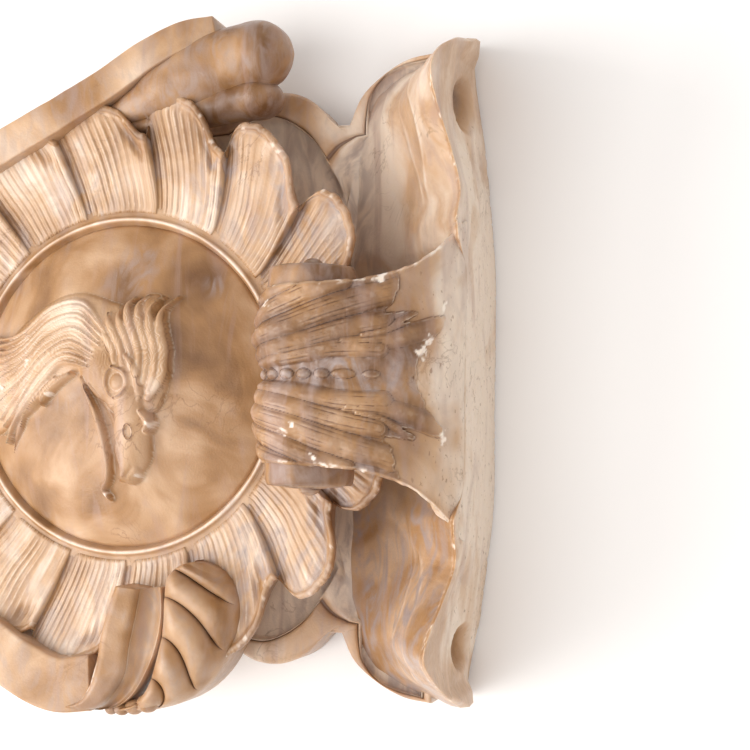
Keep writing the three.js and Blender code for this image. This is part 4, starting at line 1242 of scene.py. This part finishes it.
class StoneLook(bpy.types.PropertyGroup):
    """Colours and finish of the alabaster."""
    umber: bpy.props.StringProperty(
        name="Umber", description="Darkest stone, in stained places", default="#75502F")
    honey: bpy.props.StringProperty(
        name="Honey", description="Waxed stone of the medallion", default="#A87E54")
    straw: bpy.props.StringProperty(name="Straw", description="Mid tone", default="#CAA684")
    ivory: bpy.props.StringProperty(name="Ivory", description="Pale stone", default="#E6D3C0")
    mauve: bpy.props.StringProperty(name="Mauve", description="Strata in the block", default="#AE9186")
    shade: bpy.props.StringProperty(name="Marbling", description="Grey marbling", default="#A4928C")
    brown: bpy.props.StringProperty(name="Brown", description="Old wax in the hollows", default="#7A5233")
    cream: bpy.props.StringProperty(name="Cream", description="Bare stone on worn edges", default="#ECDAC6")
    bruise: bpy.props.StringProperty(name="Bruise", description="Fresh chips", default="#F4E6D8")
    strata: bpy.props.FloatProperty(
        name="Strata", description="Strength of the strata", default=0.45, min=0, max=1)
    veins: bpy.props.FloatProperty(
        name="Veins", description="Strength of the thin veins", default=0.5, min=0, max=1)
    dirt: bpy.props.FloatProperty(
        name="Dirt", description="Darkening of the broad hollows", default=0.75, min=0, max=1)
    groove: bpy.props.FloatProperty(
        name="Grooves", description="Darkening of fine cuts", default=0.75, min=0, max=1)
    wear: bpy.props.FloatProperty(
        name="Wear", description="Paleness of worn edges", default=0.6, min=0, max=1)
    polish: bpy.props.FloatProperty(
        name="Polish", description="Roughness of the waxed faces", default=0.33, min=0, max=1)
    pick: bpy.props.FloatProperty(
        name="Tooling", description="Strength of the fine tool marks", default=0.35, min=0, max=1)

    @property
    def tones(self):
        return [(0.0, self.umber), (0.34, self.honey), (0.68, self.straw), (1.0, self.ivory)]


class StudioSettings(bpy.types.PropertyGroup):
    """Camera, lights and backdrop."""
    lens: bpy.props.FloatProperty(
        name="Lens", description="Focal length on a 36 mm sensor", default=81.6, min=20)
    yaw: bpy.props.FloatProperty(
        name="Yaw", description="Camera turn to the left", default=math.radians(3.6), subtype="ANGLE")
    pitch: bpy.props.FloatProperty(
        name="Pitch", description="Camera tilt down", default=math.radians(13.1), subtype="ANGLE")
    roll: bpy.props.FloatProperty(
        name="Roll", description="Small turn of the picture", default=0.0, subtype="ANGLE")
    key_power: bpy.props.FloatProperty(
        name="Key light", description="Power of the large soft light", default=11.5, min=0)
    fill_power: bpy.props.FloatProperty(
        name="Fill light", description="Power of the fill light", default=12.0, min=0)
    sky: bpy.props.FloatProperty(
        name="Room light", description="Strength of the even light", default=0.75, min=0)
    wall: bpy.props.StringProperty(name="Backdrop", description="Colour of the backdrop", default="#FDFCFC")


def the_stone():
    found = bpy.data.materials.get("waxed_alabaster")
    return found or alabaster("waxed_alabaster", bpy.context.scene.bracket_stone)


class BRACKET_OT_shelf(bpy.types.Operator):
    """Add the shelf and its cove"""
    bl_idname = "bracket.shelf"
    bl_label = "Shelf and cove"

    def execute(self, context):
        shelf_and_cove(the_stone())
        return {"FINISHED"}


class BRACKET_OT_plate(bpy.types.Operator):
    """Add the back plate"""
    bl_idname = "bracket.plate"
    bl_label = "Back plate"

    def execute(self, context):
        back_plate(the_stone())
        return {"FINISHED"}


class BRACKET_OT_collar(bpy.types.Operator):
    """Add the shell collar"""
    bl_idname = "bracket.collar"
    bl_label = "Shell collar"

    def execute(self, context):
        shell_collar(the_stone())
        return {"FINISHED"}


class BRACKET_OT_medallion(bpy.types.Operator):
    """Add the medallion with its eagle, and its rim"""
    bl_idname = "bracket.medallion"
    bl_label = "Medallion"

    def execute(self, context):
        medallion_rim(the_stone())
        medallion(the_stone())
        return {"FINISHED"}


class BRACKET_OT_tongue(bpy.types.Operator):
    """Add the tongue with its leaf, and the ends of its roll"""
    bl_idname = "bracket.tongue"
    bl_label = "Tongue and volute"

    def execute(self, context):
        tongue(the_stone())
        volute_caps(the_stone())
        return {"FINISHED"}


class BRACKET_OT_scrolls(bpy.types.Operator):
    """Add both C-scrolls"""
    bl_idname = "bracket.scrolls"
    bl_label = "C-scrolls"

    def execute(self, context):
        left_scroll(the_stone())
        right_scroll(the_stone())
        return {"FINISHED"}


class BRACKET_OT_foot(bpy.types.Operator):
    """Add the foot of the cartouche"""
    bl_idname = "bracket.foot"
    bl_label = "Foot"

    def execute(self, context):
        foot(the_stone())
        return {"FINISHED"}


# In metres. The wall stands a little behind the bracket's flat back
WALL_Y = 0.002
FLOOR_Z = -1.2
CAMERA_PLACE = (0.043, -0.797, 0.292)
LAMP_COLOUR = "#FFFDFA"
ROOM_COLOUR = "#FBF8F5"


def plane(name, corners, material):
    bm = bmesh.new()
    bm.faces.new([bm.verts.new(corner) for corner in corners])
    mesh = bpy.data.meshes.new(name)
    bm.to_mesh(mesh)
    bm.free()
    mesh.materials.append(material)
    made = bpy.data.objects.new(name, mesh)
    bpy.context.scene.collection.objects.link(made)
    return made


def soft_light(name, place, target, width, height, power, colour):
    lamp = bpy.data.lights.new(name, "AREA")
    lamp.shape = "RECTANGLE"
    lamp.size, lamp.size_y = width, height
    lamp.energy = power
    lamp.color = linear(colour)[:3]
    made = bpy.data.objects.new(name, lamp)
    made.location = place
    made.rotation_euler = (Vector(target) - Vector(place)).to_track_quat("-Z", "Y").to_euler()
    bpy.context.scene.collection.objects.link(made)
    return made


def matte(name, colour, see_through_back):
    """Pale painted backdrop; the wall is clear from behind, so the back of the bracket can be looked at."""
    material = bpy.data.materials.new(name)
    material.use_nodes = True
    nodes = material.node_tree.nodes
    nodes.clear()
    paint = {"Base Color": linear(colour), "Roughness": 0.9}
    surface = add(nodes, "ShaderNodeBsdfPrincipled", paint).outputs[0]
    if see_through_back:
        back = add(nodes, "ShaderNodeNewGeometry").outputs["Backfacing"]
        clear = add(nodes, "ShaderNodeBsdfTransparent").outputs[0]
        surface = add(nodes, "ShaderNodeMixShader", {0: back, 1: surface, 2: clear}).outputs[0]
    add(nodes, "ShaderNodeOutputMaterial", {0: surface})
    return material


class BRACKET_OT_studio(bpy.types.Operator):
    """Add the camera, the soft lights, the pale wall and the pale floor"""
    bl_idname = "bracket.studio"
    bl_label = "Studio"

    def execute(self, context):
        studio = context.scene.bracket_studio
        scene = context.scene
        camera = bpy.data.objects.new("camera", bpy.data.cameras.new("camera"))
        camera.data.lens = studio.lens
        camera.data.sensor_width = 36.0
        camera.data.clip_start = 0.01
        yaw, pitch = studio.yaw, studio.pitch
        ahead = Vector((-math.sin(yaw) * math.cos(pitch), math.cos(yaw) * math.cos(pitch), -math.sin(pitch)))
        right = Vector((math.cos(yaw), math.sin(yaw), 0))
        right = Matrix.Rotation(studio.roll, 3, ahead) @ right
        up = right.cross(ahead)
        # The bracket's top points to the right of the picture
        turned = Matrix((up, -right, -ahead)).transposed().to_4x4()
        camera.matrix_world = Matrix.Translation(CAMERA_PLACE) @ turned
        scene.collection.objects.link(camera)
        scene.camera = camera
        scene.view_settings.view_transform = "Standard"
        world = bpy.data.worlds.new("room")
        world.use_nodes = True
        sky = world.node_tree.nodes["Background"]
        sky.inputs["Color"].default_value = linear(ROOM_COLOUR)
        sky.inputs["Strength"].default_value = studio.sky
        scene.world = world
        wall = matte("painted_wall", studio.wall, True)
        plane("wall", [(x, WALL_Y, z) for x, z in ((-2, FLOOR_Z), (2, FLOOR_Z), (2, 2.2), (-2, 2.2))], wall)
        plane("floor", [(x, y, FLOOR_Z) for x, y in ((-2.5, -2.5), (2.5, -2.5), (2.5, 2.5), (-2.5, 2.5))],
              matte("painted_floor", studio.wall, False))
        soft_light("key", (0.3, -0.8, -0.92), (0, -0.06, 0), 1.2, 0.7, studio.key_power, LAMP_COLOUR)
        soft_light("fill", (0.5, -1.7, -0.25), (0, -0.05, 0.03), 1.2, 1.2, studio.fill_power, LAMP_COLOUR)
        return {"FINISHED"}


class BRACKET_PT_panel(bpy.types.Panel):
    """Lists the steps that build the bracket"""
    bl_idname = "BRACKET_PT_panel"
    bl_label = "Alabaster bracket"
    bl_space_type = "VIEW_3D"
    bl_region_type = "UI"
    bl_category = "Bracket"

    def draw(self, context):
        for step in STEPS:
            self.layout.operator(step)
        for group in (context.scene.bracket_stone, context.scene.bracket_studio):
            for key in group.bl_rna.properties.keys():
                if key not in {"rna_type", "name"}:
                    self.layout.prop(group, key)


STEPS = ["bracket.shelf", "bracket.plate", "bracket.collar", "bracket.medallion", "bracket.tongue",
         "bracket.scrolls", "bracket.foot", "bracket.studio"]
CLASSES = [StoneLook, StudioSettings, BRACKET_OT_shelf, BRACKET_OT_plate, BRACKET_OT_collar,
           BRACKET_OT_medallion, BRACKET_OT_tongue, BRACKET_OT_scrolls, BRACKET_OT_foot, BRACKET_OT_studio,
           BRACKET_PT_panel]


def register():
    for cls in CLASSES:
        bpy.utils.register_class(cls)
    bpy.types.Scene.bracket_stone = bpy.props.PointerProperty(type=StoneLook)
    bpy.types.Scene.bracket_studio = bpy.props.PointerProperty(type=StudioSettings)


def unregister():
    del bpy.types.Scene.bracket_studio
    del bpy.types.Scene.bracket_stone
    for cls in reversed(CLASSES):
        bpy.utils.unregister_class(cls)


def main():
    register()
    for step in STEPS:
        group, name = step.split(".")
        getattr(getattr(bpy.ops, group), name)()


if __name__ == "__main__":
    main()
